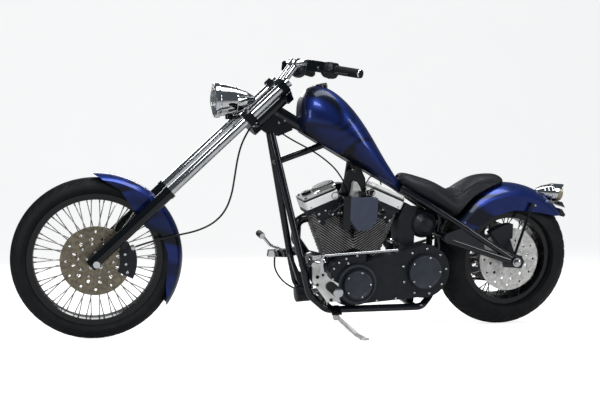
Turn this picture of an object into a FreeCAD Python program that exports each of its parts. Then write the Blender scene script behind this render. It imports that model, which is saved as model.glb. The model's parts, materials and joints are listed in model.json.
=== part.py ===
"""Chopper motorcycle: a long-forked V-twin standing on its side stand.

Millimetres.  The machine is drawn upright, X forward, Y to the rider's left, Z up, with the
front axle over X = 0 and the ground at Z = 0.  Every sub-part is then leaned over onto the side
stand by its Placement, and moved so that the origin lies on the ground under the middle of the
machine's box.
"""
import FreeCAD
import Part
import math
import os
import re

import Sketcher

V = FreeCAD.Vector

# ---------------------------------------------------------------- driving dimensions
SIZES = {
    # stance
    "lean_angle": 7.0,
    "wheelbase": 1867.0,
    "rake_angle": 46.3,
    # front wheel
    "front_tyre_radius": 345.0,
    "front_tyre_crown": 45.0,
    "front_bead_radius": 267.0,
    "front_rim_width": 62.0,
    "front_rim_bore_radius": 252.0,
    "front_hub_flange_radius": 38.0,
    "front_hub_flange_place": 30.0,
    "front_hub_half_width": 50.0,
    "front_axle_radius": 10.0,
    # rear wheel
    "rear_tyre_radius": 323.0,
    "rear_tyre_crown": 100.0,
    "rear_bead_radius": 203.0,
    "rear_rim_width": 140.0,
    "rear_rim_bore_radius": 184.0,
    "rear_hub_flange_radius": 52.0,
    "rear_hub_flange_place": 62.0,
    "rear_hub_half_width": 86.0,
    "rear_axle_radius": 12.5,
    # both wheels
    "rim_lip_height": 12.0,
    "rim_lip_thickness": 4.0,
    "spoke_radius": 2.2,
    "disc_radius": 146.0,
    "disc_thickness": 5.0,
    "seat_gap": 0.3,
    "running_gap": 0.05,
    # fork and steering
    "fork_half_spacing": 105.0,
    "fork_axle_offset": 8.0,
    "fork_tube_radius": 20.5,
    "slider_radius": 26.0,
    "slider_top": 425.0,
    "slider_foot": 24.0,
    "tube_overlap": 110.0,
    "lower_clamp_place": 852.0,
    "lower_clamp_depth": 38.0,
    "upper_clamp_place": 1050.0,
    "upper_clamp_depth": 30.0,
    "fork_tube_top": 1090.0,
    "stem_offset": 55.0,
    "stem_radius": 14.0,
    "neck_radius": 30.0,
    "neck_end_gap": 3.0,
    "bar_radius": 12.7,
    "grip_radius": 17.5,
    "grip_length": 110.0,
    "peg_radius": 19.0,
    # frame
    "backbone_radius": 24.0,
    "frame_tube_radius": 15.5,
    "rail_half_spacing": 125.0,
    "rail_height": 122.0,
    "post_half_spacing": 50.0,
    "rear_tube_radius": 15.0,
    "swing_half_spacing": 156.0,
    "swing_plate_thickness": 8.0,
    # engine
    "crank_x": -1115.0,
    "crank_z": 238.0,
    "vee_half_angle": 22.5,
    "deck_height": 135.0,
    "cylinder_height": 165.0,
    "fin_half_width": 74.0,
    "fin_corner": 34.0,
    "fin_pitch": 12.7,
    "fin_thickness": 4.0,
    "barrel_radius": 54.0,
    "head_height": 58.0,
    "rocker_height": 62.0,
    "case_half_width": 64.0,
    "primary_reach": 315.0,
    "primary_front_radius": 92.0,
    "primary_rear_radius": 120.0,
    "pulley_radius": 139.5,
    "pulley_width": 28.0,
    "belt_thickness": 5.0,
    # fenders
    "fender_sheet": 3.5,
    "front_fender_radius": 366.0,
    "front_fender_half_width": 62.0,
    "rear_fender_radius": 348.0,
    "rear_fender_half_width": 118.0,
    # side stand
    "stand_leg_radius": 9.0,
    "stand_reach": 335.0,
    "stand_pad_radius": 20.0,
    "stand_pad_thickness": 6.0,
    "stand_pin_radius": 6.0,
    # cords
    "hose_radius": 4.0,
    "cable_radius": 3.5,
}

doc = FreeCAD.newDocument("Chopper")
sheet = doc.addObject("Spreadsheet::Sheet", "Sizes")
for row, (alias, number) in enumerate(SIZES.items(), start=1):
    sheet.set(f"A{row}", alias.replace("_", " "))
    sheet.set(f"B{row}", repr(number))
    sheet.setAlias(f"B{row}", alias)
doc.recompute()


def size(alias):
    """A driving dimension, read from the sheet."""
    return float(sheet.get(alias))


def value(formula):
    """The number that a formula of sheet aliases gives."""
    return float(sheet.evalExpression(str(formula)))


def bound(formula):
    """The same formula, as an expression for a property of another object."""
    return re.sub(r"[a-z_]+[a-z_0-9]*",
                  lambda word: "Sizes." + word.group(0) if word.group(0) in SIZES else word.group(0),
                  str(formula))


# ---------------------------------------------------------------- places on the machine
LEAN = size("lean_angle")
COS_LEAN = math.cos(math.radians(LEAN))
TAN_LEAN = math.tan(math.radians(LEAN))


def axle_height(radius, crown):
    """Height of an axle above the ground line, so that the leaned tyre's crown touches the ground."""
    return radius - crown + crown / COS_LEAN


FRONT_AXLE = V(0, 0, axle_height(size("front_tyre_radius"), size("front_tyre_crown")))
REAR_AXLE = V(-size("wheelbase"), 0, axle_height(size("rear_tyre_radius"), size("rear_tyre_crown")))
CRANK = V(size("crank_x"), 0, size("crank_z"))
RAKE = math.radians(size("rake_angle"))
FORK_UP = V(-math.sin(RAKE), 0, math.cos(RAKE))
FORK_AHEAD = V(math.cos(RAKE), 0, math.sin(RAKE))

LEANED = FreeCAD.Placement(V(0, 0, 0), FreeCAD.Rotation(V(1, 0, 0), -LEAN))
UPRIGHT = FreeCAD.Placement()
FORK = FreeCAD.Placement(FRONT_AXLE + FORK_AHEAD * size("fork_axle_offset"),
                         FreeCAD.Rotation(V(0, 1, 0), -size("rake_angle")))
FRONT_WHEEL = FreeCAD.Placement(FRONT_AXLE, FreeCAD.Rotation(V(1, 0, 0), -90))
REAR_WHEEL = FreeCAD.Placement(REAR_AXLE, FreeCAD.Rotation(V(1, 0, 0), -90))
FRONT_CYLINDER = FreeCAD.Placement(CRANK, FreeCAD.Rotation(V(0, 1, 0), size("vee_half_angle")))
REAR_CYLINDER = FreeCAD.Placement(CRANK, FreeCAD.Rotation(V(0, 1, 0), -size("vee_half_angle")))

subparts = {}


def keep(item, label, place):
    """Name a finished sub-part and stand it at its place on the leaned machine."""
    item.Label = label
    item.Placement = LEANED.multiply(place)
    subparts[label] = item
    return item


def keep_shape(shape, label, place=UPRIGHT):
    """Keep a shape made with Part's functions as a sub-part of the document."""
    item = doc.addObject("Part::Feature", label)
    solids = shape.Solids
    item.Shape = solids[0] if len(solids) == 1 else Part.makeCompound(solids)
    return keep(item, label, place.multiply(item.Shape.Placement))


# ---------------------------------------------------------------- PartDesign helpers
class Maker:
    """A PartDesign body whose sketches and features take their sizes from the sheet."""

    def __init__(self, label):
        self.label = label
        self.body = doc.addObject("PartDesign::Body", label)

    def plane(self, role):
        """The body's own origin plane or axis of that role."""
        return next(part for part in self.body.Origin.OriginFeatures if part.Role == role)

    def sketch(self, role, outline=(), circles=(), offset=None):
        """A sketch on an origin plane.

        Each outline point is (x, y) for a straight edge to the next point, (x, y, cx, cy) for an
        arc about that centre, anticlockwise, and (x, y, cx, cy, "clockwise") for the other way.
        Each circle is (x, y, radius).
        """
        sketch = self.body.newObject("Sketcher::SketchObject", self.label + "_sketch")
        sketch.AttachmentSupport = (self.plane(role), [""])
        sketch.MapMode = "FlatFace"
        if offset is not None:
            sketch.setExpression("AttachmentOffset.Base.z", bound(offset))
        if outline:
            draw_outline(sketch, outline)
        for centre_x, centre_y, radius in circles:
            draw_circle(sketch, centre_x, centre_y, radius)
        return sketch

    def feature(self, kind, sketch, **settings):
        """Add a feature made from a sketch; settings given as text are formulas."""
        item = self.body.newObject("PartDesign::" + kind, f"{self.label}_{kind.lower()}")
        item.Profile = sketch
        for name, setting in settings.items():
            if isinstance(setting, str):
                item.setExpression(name, bound(setting))
            else:
                setattr(item, name, setting)
        return item

    def pad(self, sketch, length, **settings):
        """Extrude a sketch along its plane's normal."""
        return self.feature("Pad", sketch, Length=str(length), **settings)

    def revolve(self, sketch, angle=360):
        """Turn a sketch about its own vertical axis."""
        return self.feature("Revolution", sketch, ReferenceAxis=(sketch, ["V_Axis"]), Angle=angle)

    def pocket_through(self, sketch):
        """Cut a sketch through the whole solid, both ways."""
        return self.feature("Pocket", sketch, Type=1, Midplane=True)

    def repeat_round(self, item, axis_role, count):
        """Repeat a feature round an origin axis."""
        pattern = self.body.newObject("PartDesign::PolarPattern", self.label + "_round")
        pattern.Originals = [item]
        pattern.Axis = (self.plane(axis_role), [""])
        pattern.Angle = 360
        pattern.Occurrences = count
        self.body.Tip = pattern
        return pattern

    def repeat_along(self, item, axis_role, pitch, count):
        """Repeat a feature along an origin axis at a pitch."""
        pattern = self.body.newObject("PartDesign::LinearPattern", self.label + "_row")
        pattern.Originals = [item]
        pattern.Direction = (self.plane(axis_role), [""])
        pattern.Occurrences = count
        pattern.setExpression("Length", bound(f"({pitch}) * {count - 1}"))
        self.body.Tip = pattern
        return pattern


def draw_outline(sketch, points):
    """Draw a closed outline of lines and arcs and bind its points to the sheet."""
    count = len(points)
    corner = [V(value(p[0]), value(p[1]), 0) for p in points]
    first = sketch.GeometryCount
    for i, point in enumerate(points):
        here, there = corner[i], corner[(i + 1) % count]
        if len(point) == 2:
            sketch.addGeometry(Part.LineSegment(here, there), False)
            continue
        centre = V(value(point[2]), value(point[3]), 0)
        start, end = (there, here) if len(point) == 5 else (here, there)
        begin = math.atan2(start.y - centre.y, start.x - centre.x)
        finish = math.atan2(end.y - centre.y, end.x - centre.x)
        if finish <= begin:
            finish += 2 * math.pi
        circle = Part.Circle(centre, V(0, 0, 1), (start - centre).Length)
        sketch.addGeometry(Part.ArcOfCircle(circle, begin, finish), False)

    def ends(i):
        return (2, 1) if len(points[i]) == 5 else (1, 2)

    for i, point in enumerate(points):
        following = (i + 1) % count
        sketch.addConstraint(Sketcher.Constraint(
            "Coincident", first + i, ends(i)[1], first + following, ends(following)[0]))
        for kind, formula, number in (("DistanceX", point[0], corner[i].x),
                                      ("DistanceY", point[1], corner[i].y)):
            bind(sketch, kind, first + i, ends(i)[0], formula, number)
        if len(point) > 2:
            chord = corner[following] - corner[i]
            kind, formula = (("DistanceX", point[2]) if abs(chord.y) > abs(chord.x)
                             else ("DistanceY", point[3]))
            bind(sketch, kind, first + i, 3, formula, value(formula))


def bind(sketch, kind, geometry, end, formula, number):
    """Place one coordinate of a sketch point by a formula."""
    index = sketch.addConstraint(Sketcher.Constraint(kind, -1, 1, geometry, end, number))
    sketch.setExpression(f"Constraints[{index}]", bound(formula))


def draw_circle(sketch, centre_x, centre_y, radius):
    """Draw a circle and bind its centre and radius to the sheet."""
    circle = sketch.addGeometry(
        Part.Circle(V(value(centre_x), value(centre_y), 0), V(0, 0, 1), value(radius)), False)
    bind(sketch, "DistanceX", circle, 3, centre_x, value(centre_x))
    bind(sketch, "DistanceY", circle, 3, centre_y, value(centre_y))
    index = sketch.addConstraint(Sketcher.Constraint("Radius", circle, value(radius)))
    sketch.setExpression(f"Constraints[{index}]", bound(radius))


def mirrored(points):
    """Outline points of one half, followed by the same points mirrored across the X axis."""
    return list(points) + [(x, f"-({y})") for x, y in reversed(points)]


# ---------------------------------------------------------------- Part helpers
def rod(start, end, radius):
    """A round bar from one point to another."""
    return Part.makeCylinder(radius, (end - start).Length, start, end - start)


def collar(centre, axis, radius, length):
    """A round boss centred on a point."""
    direction = V(axis).normalize()
    return Part.makeCylinder(radius, length, centre - direction * (length / 2), direction)


def block(low, high):
    """A box between two corners."""
    return Part.makeBox(high.x - low.x, high.y - low.y, high.z - low.z, low)


def plate(points, low, high):
    """A flat plate with a side outline of (x, z) points, between two places along Y."""
    corners = [V(x, low, z) for x, z in points]
    face = Part.Face(Part.makePolygon(corners + corners[:1]))
    return face.extrude(V(0, high - low, 0))


def joined(shapes):
    """One shape fused from many."""
    first, *others = shapes
    return first.fuse(others).removeSplitter() if others else first


def route(points, bend=None):
    """A wire of straight runs joined by tangent arcs.

    With no bend radius given, each arc is as large as its two runs allow.
    """
    radii = []
    edges = []
    start = points[0]
    for before, here, after in zip(points, points[1:], points[2:]):
        inward, outward = before - here, after - here
        turn = math.pi - inward.getAngle(outward)
        if bend is None:
            radius = 0.45 * min(inward.Length, outward.Length) / math.tan(turn / 2)
        else:
            radius = bend
        reach = radius * math.tan(turn / 2)
        first = here + V(inward).normalize() * reach
        last = here + V(outward).normalize() * reach
        centre = here + (V(inward).normalize() + V(outward).normalize()).normalize() * (
            radius / math.cos(turn / 2))
        middle = centre + (here - centre).normalize() * radius
        edges.append(Part.LineSegment(start, first).toShape())
        edges.append(Part.Arc(first, middle, last).toShape())
        start = last
        radii.append(radius)
    edges.append(Part.LineSegment(start, points[-1]).toShape())
    return Part.Wire(edges), radii


def bent_bar(points, radius, bend=None):
    """A round bar along a route."""
    path, _ = route(points, bend)
    section = Part.Wire(Part.Circle(points[0], points[1] - points[0], radius).toShape())
    return path.makePipeShell([section], True, False)


def cord(label, points, radius, place):
    """A flexible line along a route chosen by hand."""
    path, radii = route(points)
    bar = bent_bar(points, radius)
    expected = math.pi * radius ** 2 * path.Length
    print(f"{label}: length {path.Length:.0f} mm, radii {[round(r) for r in radii]}, "
          f"volume {bar.Volume / expected:.4f} of section times length")
    return keep_shape(bar, label, place)


def both_sides(points):
    """The same points on the left and on the right of the machine."""
    return [points, [V(p.x, -p.y, p.z) for p in points]]


def section_loft(sections, corner_share):
    """A body lofted through upright cross-sections.

    sections: (x, low z, high z, half width); corner_share is how far up the side the widest
    place lies.  Each section is a flat floor, two bulged sides and a crowned top.
    """
    wires = []
    for x, low, high, half in sections:
        waist = low + (high - low) * corner_share
        floor_half = half * 0.62
        shoulder_half = half * 0.80
        shoulder = low + (high - low) * (corner_share + (1 - corner_share) * 0.62)
        edges = [
            Part.LineSegment(V(x, -floor_half, low), V(x, floor_half, low)).toShape(),
            Part.Arc(V(x, floor_half, low), V(x, half, waist), V(x, shoulder_half, shoulder)).toShape(),
            Part.Arc(V(x, shoulder_half, shoulder), V(x, 0, high), V(x, -shoulder_half, shoulder)).toShape(),
            Part.Arc(V(x, -shoulder_half, shoulder), V(x, -half, waist), V(x, -floor_half, low)).toShape(),
        ]
        wires.append(Part.Wire(edges))
    return Part.makeLoft(wires, True, False)


# ---------------------------------------------------------------- wheels
def make_tyre(end, place):
    """A tyre: round crown, straight sides and beads that sit in the rim."""
    maker = Maker(f"{end}_tyre")
    radius, crown = f"{end}_tyre_radius", f"{end}_tyre_crown"
    bead, half = f"{end}_bead_radius", f"{end}_rim_width / 2"
    outline = [
        (bead, f"-{half}"),
        (f"{bead} + rim_lip_height + 2", f"-{half}"),
        (f"{radius} - {crown}", f"-{crown}", f"{radius} - {crown}", "0"),
        (f"{radius} - {crown}", crown),
        (f"{bead} + rim_lip_height + 2", half),
        (bead, half),
    ]
    maker.revolve(maker.sketch("XZ_Plane", outline))
    keep(maker.body, f"{end}_tyre", place)


def make_rim(end, place, well_share):
    """A rim: bead seats, lips and a narrower well that the spokes reach."""
    maker = Maker(f"{end}_rim")
    bead, bore = f"{end}_bead_radius", f"{end}_rim_bore_radius"
    inner = f"{end}_rim_width / 2 + seat_gap"
    outer = f"{end}_rim_width / 2 + seat_gap + rim_lip_thickness"
    half = [
        (bore, f"{end}_rim_width * {well_share}"),
        (f"{bead} - 12", outer),
        (f"{bead} + rim_lip_height", outer),
        (f"{bead} + rim_lip_height", inner),
        (f"{bead} - seat_gap", inner),
    ]
    maker.revolve(maker.sketch("XZ_Plane", mirrored(half)))
    keep(maker.body, f"{end}_rim", place)


def make_hub(end, place, spokes_per_row):
    """A hub with its laced spokes: two rows each side, crossing, that end inside the rim."""
    flange, at = size(f"{end}_hub_flange_radius"), size(f"{end}_hub_flange_place")
    half, bore = size(f"{end}_hub_half_width"), size(f"{end}_axle_radius") + size("running_gap")
    rim = size(f"{end}_rim_bore_radius")
    barrel, flange_half = flange * 0.62, 7.0
    hub = joined([Part.makeCylinder(barrel, 2 * half, V(0, 0, -half))]
                 + [Part.makeCylinder(flange, 2 * flange_half, V(0, 0, side * at - flange_half))
                    for side in (-1, 1)])
    spokes = []
    pitch = 360.0 / spokes_per_row
    cross = pitch * 1.35
    for side in (-1, 1):
        for row, turn in ((-1, -cross), (1, cross)):
            for number in range(spokes_per_row):
                angle = math.radians(number * pitch + (pitch / 4) * side + (pitch / 2 if row > 0 else 0))
                start = V((flange - 4) * math.cos(angle), (flange - 4) * math.sin(angle),
                          side * (at + row * 4))
                far = angle + math.radians(turn)
                finish = V((rim + 4) * math.cos(far), (rim + 4) * math.sin(far),
                           side * (8 + row * 3))
                spokes.append(rod(start, finish, size("spoke_radius")))
    hub = hub.fuse(spokes)
    hub = hub.cut(Part.makeCylinder(bore, 2 * half + 2, V(0, 0, -half - 1)))
    keep_shape(hub, f"{end}_hub", place)


def make_disc(end, place, side_place):
    """A drilled brake disc bolted to the hub's end."""
    maker = Maker(f"{end}_disc")
    bore = f"{end}_axle_radius + 4"
    sketch = maker.sketch("XY_Plane", circles=[("0", "0", "disc_radius"), ("0", "0", bore)],
                          offset=side_place)
    maker.pad(sketch, "disc_thickness")
    holes = maker.sketch("XY_Plane", circles=[("disc_radius * 0.84", "0", "5.5"),
                                              ("disc_radius * 0.62", "18", "7.5")])
    cut = maker.pocket_through(holes)
    maker.repeat_round(cut, "Z_Axis", 12)
    keep(maker.body, f"{end}_disc", place)


def make_wheels():
    """Both wheels, their discs, the driven pulley and the two axles."""
    for end, place, well_share, spokes in (("front", FRONT_WHEEL, 0.30, 15), ("rear", REAR_WHEEL, 0.24, 12)):
        make_tyre(end, place)
        make_rim(end, place, well_share)
        make_hub(end, place, spokes)
    make_disc("front", FRONT_WHEEL, "front_hub_half_width + seat_gap")
    make_disc("rear", REAR_WHEEL, "rear_hub_half_width + seat_gap")
    pulley = Maker("rear_pulley")
    bore = ("0", "0", "rear_axle_radius + 4")
    spacer, ring = "18", "pulley_width"
    pulley.pad(pulley.sketch("XY_Plane", circles=[("0", "0", "60"), bore],
                             offset=f"-rear_hub_half_width - seat_gap - {spacer}"), spacer)
    pulley.pad(pulley.sketch("XY_Plane", circles=[("0", "0", "pulley_radius"), bore],
                             offset=f"-rear_hub_half_width - seat_gap - {spacer} - {ring}"), ring)
    cut = pulley.pocket_through(pulley.sketch("XY_Plane", circles=[("pulley_radius * 0.69", "0", "17")]))
    pulley.repeat_round(cut, "Z_Axis", 9)
    keep(pulley.body, "rear_pulley", REAR_WHEEL)


# ---------------------------------------------------------------- front end
def make_front_axle():
    """The front axle with its spacers and end nuts."""
    inner = size("fork_half_spacing") - size("slider_radius") - size("seat_gap")
    outer = size("fork_half_spacing") + size("slider_radius") + size("seat_gap")
    hub_end = size("front_hub_half_width") + size("seat_gap") + size("disc_thickness") + 1.0
    shapes = [Part.makeCylinder(size("front_axle_radius"), 2 * outer, V(0, 0, -outer))]
    for side in (-1, 1):
        shapes.append(rod(V(0, 0, side * hub_end), V(0, 0, side * inner), 15.0))
        shapes.append(rod(V(0, 0, side * outer), V(0, 0, side * (outer + 9)), 14.0))
    keep_shape(joined(shapes), "front_axle", FRONT_WHEEL)


def make_fork():
    """Fork sliders and tubes, in the fork's own frame: Z up the legs, X ahead."""
    spacing = size("fork_half_spacing")
    top, foot = size("slider_top"), size("slider_foot")
    tube = size("fork_tube_radius")
    sliders = []
    tubes = []
    for side in (-1, 1):
        leg = Part.makeCylinder(size("slider_radius"), top + foot, V(0, side * spacing, -foot))
        ring = Part.makeCylinder(size("slider_radius") + 3, 20, V(0, side * spacing, top - 20))
        lug = block(V(-44, side * spacing - 10 - side * 16, 118), V(-16, side * spacing + 10 - side * 16, 150))
        leg = joined([leg, ring, lug])
        bore = Part.makeCylinder(tube + size("seat_gap"), size("tube_overlap") + 1,
                                 V(0, side * spacing, top - size("tube_overlap")))
        axle_hole = collar(V(-size("fork_axle_offset"), side * spacing, 0), V(0, 1, 0),
                           size("front_axle_radius") + size("seat_gap"), 80)
        sliders.append(leg.cut([bore, axle_hole]))
        low = top - size("tube_overlap") + size("seat_gap")
        stanchion = Part.makeCylinder(tube, size("fork_tube_top") - low, V(0, side * spacing, low))
        cap = Part.makeCylinder(tube + 2.5, 9, V(0, side * spacing, size("fork_tube_top")))
        tubes.append(joined([stanchion, cap]))
    keep_shape(Part.makeCompound(sliders), "fork_sliders", FORK)
    keep_shape(Part.makeCompound(tubes), "fork_tubes", FORK)


def clamp_outline():
    """Outline of a fork clamp: two tube bosses and a narrower stem boss, X ahead."""
    return [
        ("-stem_offset - 34", "-22"), ("-stem_offset - 34", "22"),
        ("-stem_offset + 12", "fork_half_spacing - 8"), ("-22", "fork_half_spacing + 33"),
        ("22", "fork_half_spacing + 33"), ("34", "fork_half_spacing - 4"), ("12", "50"), ("12", "-50"),
        ("34", "-fork_half_spacing + 4"), ("22", "-fork_half_spacing - 33"),
        ("-22", "-fork_half_spacing - 33"), ("-stem_offset + 12", "-fork_half_spacing + 8"),
    ]


def make_clamps():
    """The lower clamp with the steering stem, and the upper clamp that closes it."""
    tube_holes = [("0", "fork_half_spacing", "fork_tube_radius + seat_gap"),
                  ("0", "-fork_half_spacing", "fork_tube_radius + seat_gap")]
    lower = Maker("lower_clamp")
    lower.pad(lower.sketch("XY_Plane", clamp_outline(), offset="lower_clamp_place"), "lower_clamp_depth")
    lower.pocket_through(lower.sketch("XY_Plane", circles=tube_holes, offset="lower_clamp_place"))
    lower.pad(lower.sketch("XY_Plane", circles=[("-stem_offset", "0", "stem_radius")],
                           offset="lower_clamp_place"),
              "upper_clamp_place + upper_clamp_depth + 6 - lower_clamp_place")
    keep(lower.body, "lower_clamp", FORK)
    upper = Maker("upper_clamp")
    upper.pad(upper.sketch("XY_Plane", clamp_outline(), offset="upper_clamp_place"), "upper_clamp_depth")
    upper.pocket_through(upper.sketch("XY_Plane", circles=tube_holes + [
        ("-stem_offset", "0", "stem_radius + seat_gap")], offset="upper_clamp_place"))
    keep(upper.body, "upper_clamp", FORK)


# handlebar route in the fork's frame: middle, bend, pulled-back end
BAR_ROUTE = [V(20, 0, 1191), V(20, 80, 1191), V(14, 165, 1201), V(-30, 235, 1217), V(-130, 370, 1291)]
RISER_PLACE = 48.0


# how far inboard of the grip the master cylinder sits, and the length of the switch housing
MASTER_PLACE = 84.0
SWITCH_LENGTH = 42.0
# level with the ground and straight up from it, in the fork's frame
LEVEL_AHEAD = V(math.cos(RAKE), 0, -math.sin(RAKE))
LEVEL_UP = V(math.sin(RAKE), 0, math.cos(RAKE))


def hand_master(inner, along):
    """A brake or clutch master cylinder on the bar: clamp, reservoir with its lid, and lever."""
    centre = inner - along * MASTER_PLACE
    ahead = (LEVEL_AHEAD - along * along.dot(LEVEL_AHEAD)).normalize()
    upward = (LEVEL_UP - along * along.dot(LEVEL_UP)).normalize()
    clamp = rod(centre - along * 17, centre + along * 17, 21.0)
    turn = FreeCAD.Rotation(along, V(), upward, "XZY")
    body = block(V(-38, -20, -17), V(38, 20, 22))
    body.Placement = FreeCAD.Placement(centre + ahead * 16, turn)
    lid = block(V(-34, -17, 21), V(34, 17, 27))
    lid.Placement = body.Placement
    hinge = centre + ahead * 34 + along * 16 - upward * 4
    lever = bent_bar([hinge, hinge + ahead * 14 + along * 30, hinge + ahead * 16 + along * 96,
                      hinge + ahead * 6 + along * 150], 5.0, 26.0)
    return joined([clamp, body, lid, lever]), lever


def make_handlebar():
    """The bar with its two risers, its grips and the paired controls."""
    half = [V(p) for p in BAR_ROUTE]
    other = [V(p.x, -p.y, p.z) for p in reversed(half[1:])]
    bar = bent_bar(other + half[1:], size("bar_radius"), 55.0)
    bore = bent_bar(other + half[1:], size("bar_radius") + size("seat_gap"), 55.0)
    top = size("upper_clamp_place") + size("upper_clamp_depth")
    risers = []
    for side in (-1, 1):
        base = V(0, side * RISER_PLACE, top + size("seat_gap"))
        head = V(BAR_ROUTE[0].x, side * RISER_PLACE, BAR_ROUTE[0].z)
        risers.append(rod(base, base + V(0, 0, 12), 17.0))
        risers.append(rod(base + V(0, 0, 6), head, 13.0))
        risers.append(collar(head, V(0, 1, 0), 20.0, 34.0))
    keep_shape(joined([bar] + risers), "handlebar", FORK)
    grips = []
    controls = []
    for side in (-1, 1):
        end, bend = V(BAR_ROUTE[-1]), V(BAR_ROUTE[-2])
        end.y *= side
        bend.y *= side
        along = (end - bend).normalize()
        inner = end - along * size("grip_length")
        sleeve = rod(inner, end, size("grip_radius")).cut(bore)
        cap = rod(end + along * size("seat_gap"), end + along * 8, size("grip_radius") - 1)
        grips += [sleeve, cap]
        housing = rod(inner - along * (SWITCH_LENGTH + 2), inner - along * 2, 28.0)
        lobe = rod(inner - along * (SWITCH_LENGTH - 4), inner - along * 8, 18.0).translated(LEVEL_UP * -17)
        master, lever = hand_master(inner, along)
        controls.append(master.cut(bore))
        controls.append(joined([housing, lobe]).cut([bore, lever]))
    keep_shape(Part.makeCompound(grips), "grips", FORK)
    keep_shape(Part.makeCompound(controls), "hand_controls", FORK)


LAMP_FACE = V(-492, 0, 1021)


def make_headlamp():
    """The bullet headlamp: shell, lens, and the stalk down to the lower clamp."""
    place = FreeCAD.Placement(LAMP_FACE, FreeCAD.Rotation(V(0, 1, 0), 92))
    shell = Maker("headlamp_shell")
    shell.revolve(shell.sketch("XZ_Plane", [
        ("0", "-14"), ("62", "-14"), ("68", "0"), ("73", "-2"), ("73", "-20"), ("69", "-24"),
        ("66", "-52"), ("55", "-95"), ("37", "-138"), ("17", "-170"), ("0", "-182")]))
    keep(shell.body, "headlamp_shell", place)
    lens = Maker("headlamp_lens")
    lens.revolve(lens.sketch("XZ_Plane", [
        ("0", "-13.5"), ("61", "-13.5"), ("66", "-1", "0", "-130"), ("0", "sqrt(66^2 + 129^2) - 130")]))
    keep(lens.body, "headlamp_lens", place)
    doc.recompute()
    front_face = FORK.multVec(V(12 + size("seat_gap"), 0, size("lower_clamp_place") + 10))
    under = V(LAMP_FACE.x - 66, 0, LAMP_FACE.z - 72)
    arm = bent_bar([front_face, front_face + V(22, 0, -6), under], 9.0, 14.0)
    saddle = rod(under - V(0, 0, 8), under + V(0, 0, 14), 16.0)
    pad = rod(front_face, front_face + FORK_AHEAD * 8, 15.0)
    mount = joined([arm, saddle, pad]).cut([upright_shape("headlamp_shell"), upright_shape("lower_clamp")])
    keep_shape(largest(mount), "headlamp_mount")


def fender_section(radius, half_width, skirt, sheet_thickness, centre):
    """Section of a fender: a crowned top with straight sides, as a closed face through the axle."""
    def half_outline(outer, half):
        return [V(-half, skirt), V(-half, outer - half * 0.42), V(-half * 0.55, outer - half * 0.10),
                V(0, outer), V(half * 0.55, outer - half * 0.10), V(half, outer - half * 0.42), V(half, skirt)]

    outer = half_outline(radius, half_width)
    inner = half_outline(radius - sheet_thickness, half_width - sheet_thickness)

    def arch(points):
        p = [V(centre.x, q.x, centre.z + q.y) for q in points]
        return [Part.LineSegment(p[0], p[1]).toShape(), Part.Arc(p[1], p[2], p[3]).toShape(),
                Part.Arc(p[3], p[4], p[5]).toShape(), Part.LineSegment(p[5], p[6]).toShape()]

    over, under = arch(outer), arch(inner)
    first = [Part.LineSegment(under[0].valueAt(under[0].FirstParameter),
                              over[0].valueAt(over[0].FirstParameter)).toShape()]
    last = [Part.LineSegment(over[-1].valueAt(over[-1].LastParameter),
                             under[-1].valueAt(under[-1].LastParameter)).toShape()]
    return Part.Face(Part.Wire(Part.__sortEdges__(first + over + last + under)))


def fender_arch(radius, half_width, skirt, centre, start, sweep):
    """The fender's section turned about the axle; angles from straight ahead, over the top."""
    face = fender_section(radius, half_width, skirt, size("fender_sheet"), centre)
    face = face.rotated(centre, V(0, 1, 0), 90 - start)
    return face.revolve(centre, V(0, -1, 0), sweep)


# the hose's fitting on the front caliper, in the fork's frame
BANJO = V(-72, 70.5, 149)

# lower edge of the front fender: x and z from the front axle, front tip first
FRONT_FENDER_EDGE = [(70, 371), (24, 369), (-16, 347), (-98, 297), (-138, 235), (-205, 138),
                     (-272, 108), (-298, 21), (-291, -109), (-296, -191), (-240, -260), (70, -260)]


def make_front_fender():
    """The front fender, hugging the tyre, its sides cut to a sweeping edge."""
    arch = fender_arch(size("front_fender_radius"), size("front_fender_half_width"), 200, FRONT_AXLE, 86, 128)
    half = size("front_fender_half_width") + 5
    trim = plate([(FRONT_AXLE.x + x, FRONT_AXLE.z + z) for x, z in FRONT_FENDER_EDGE], -half, half)
    fender = arch.cut(trim)
    reach = size("fork_half_spacing") - size("slider_radius") - size("seat_gap")
    stays = []
    for side in (-1, 1):
        y = side * size("front_fender_half_width")
        pad = block(V(-205, min(y, side * reach), 250 + FRONT_AXLE.z - 345 + 300),
                    V(-185, max(y, side * reach), 270 + FRONT_AXLE.z - 345 + 300))
        stays.append(pad)
    fender = joined([fender] + stays)
    keep_shape(fender, "front_fender")


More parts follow.
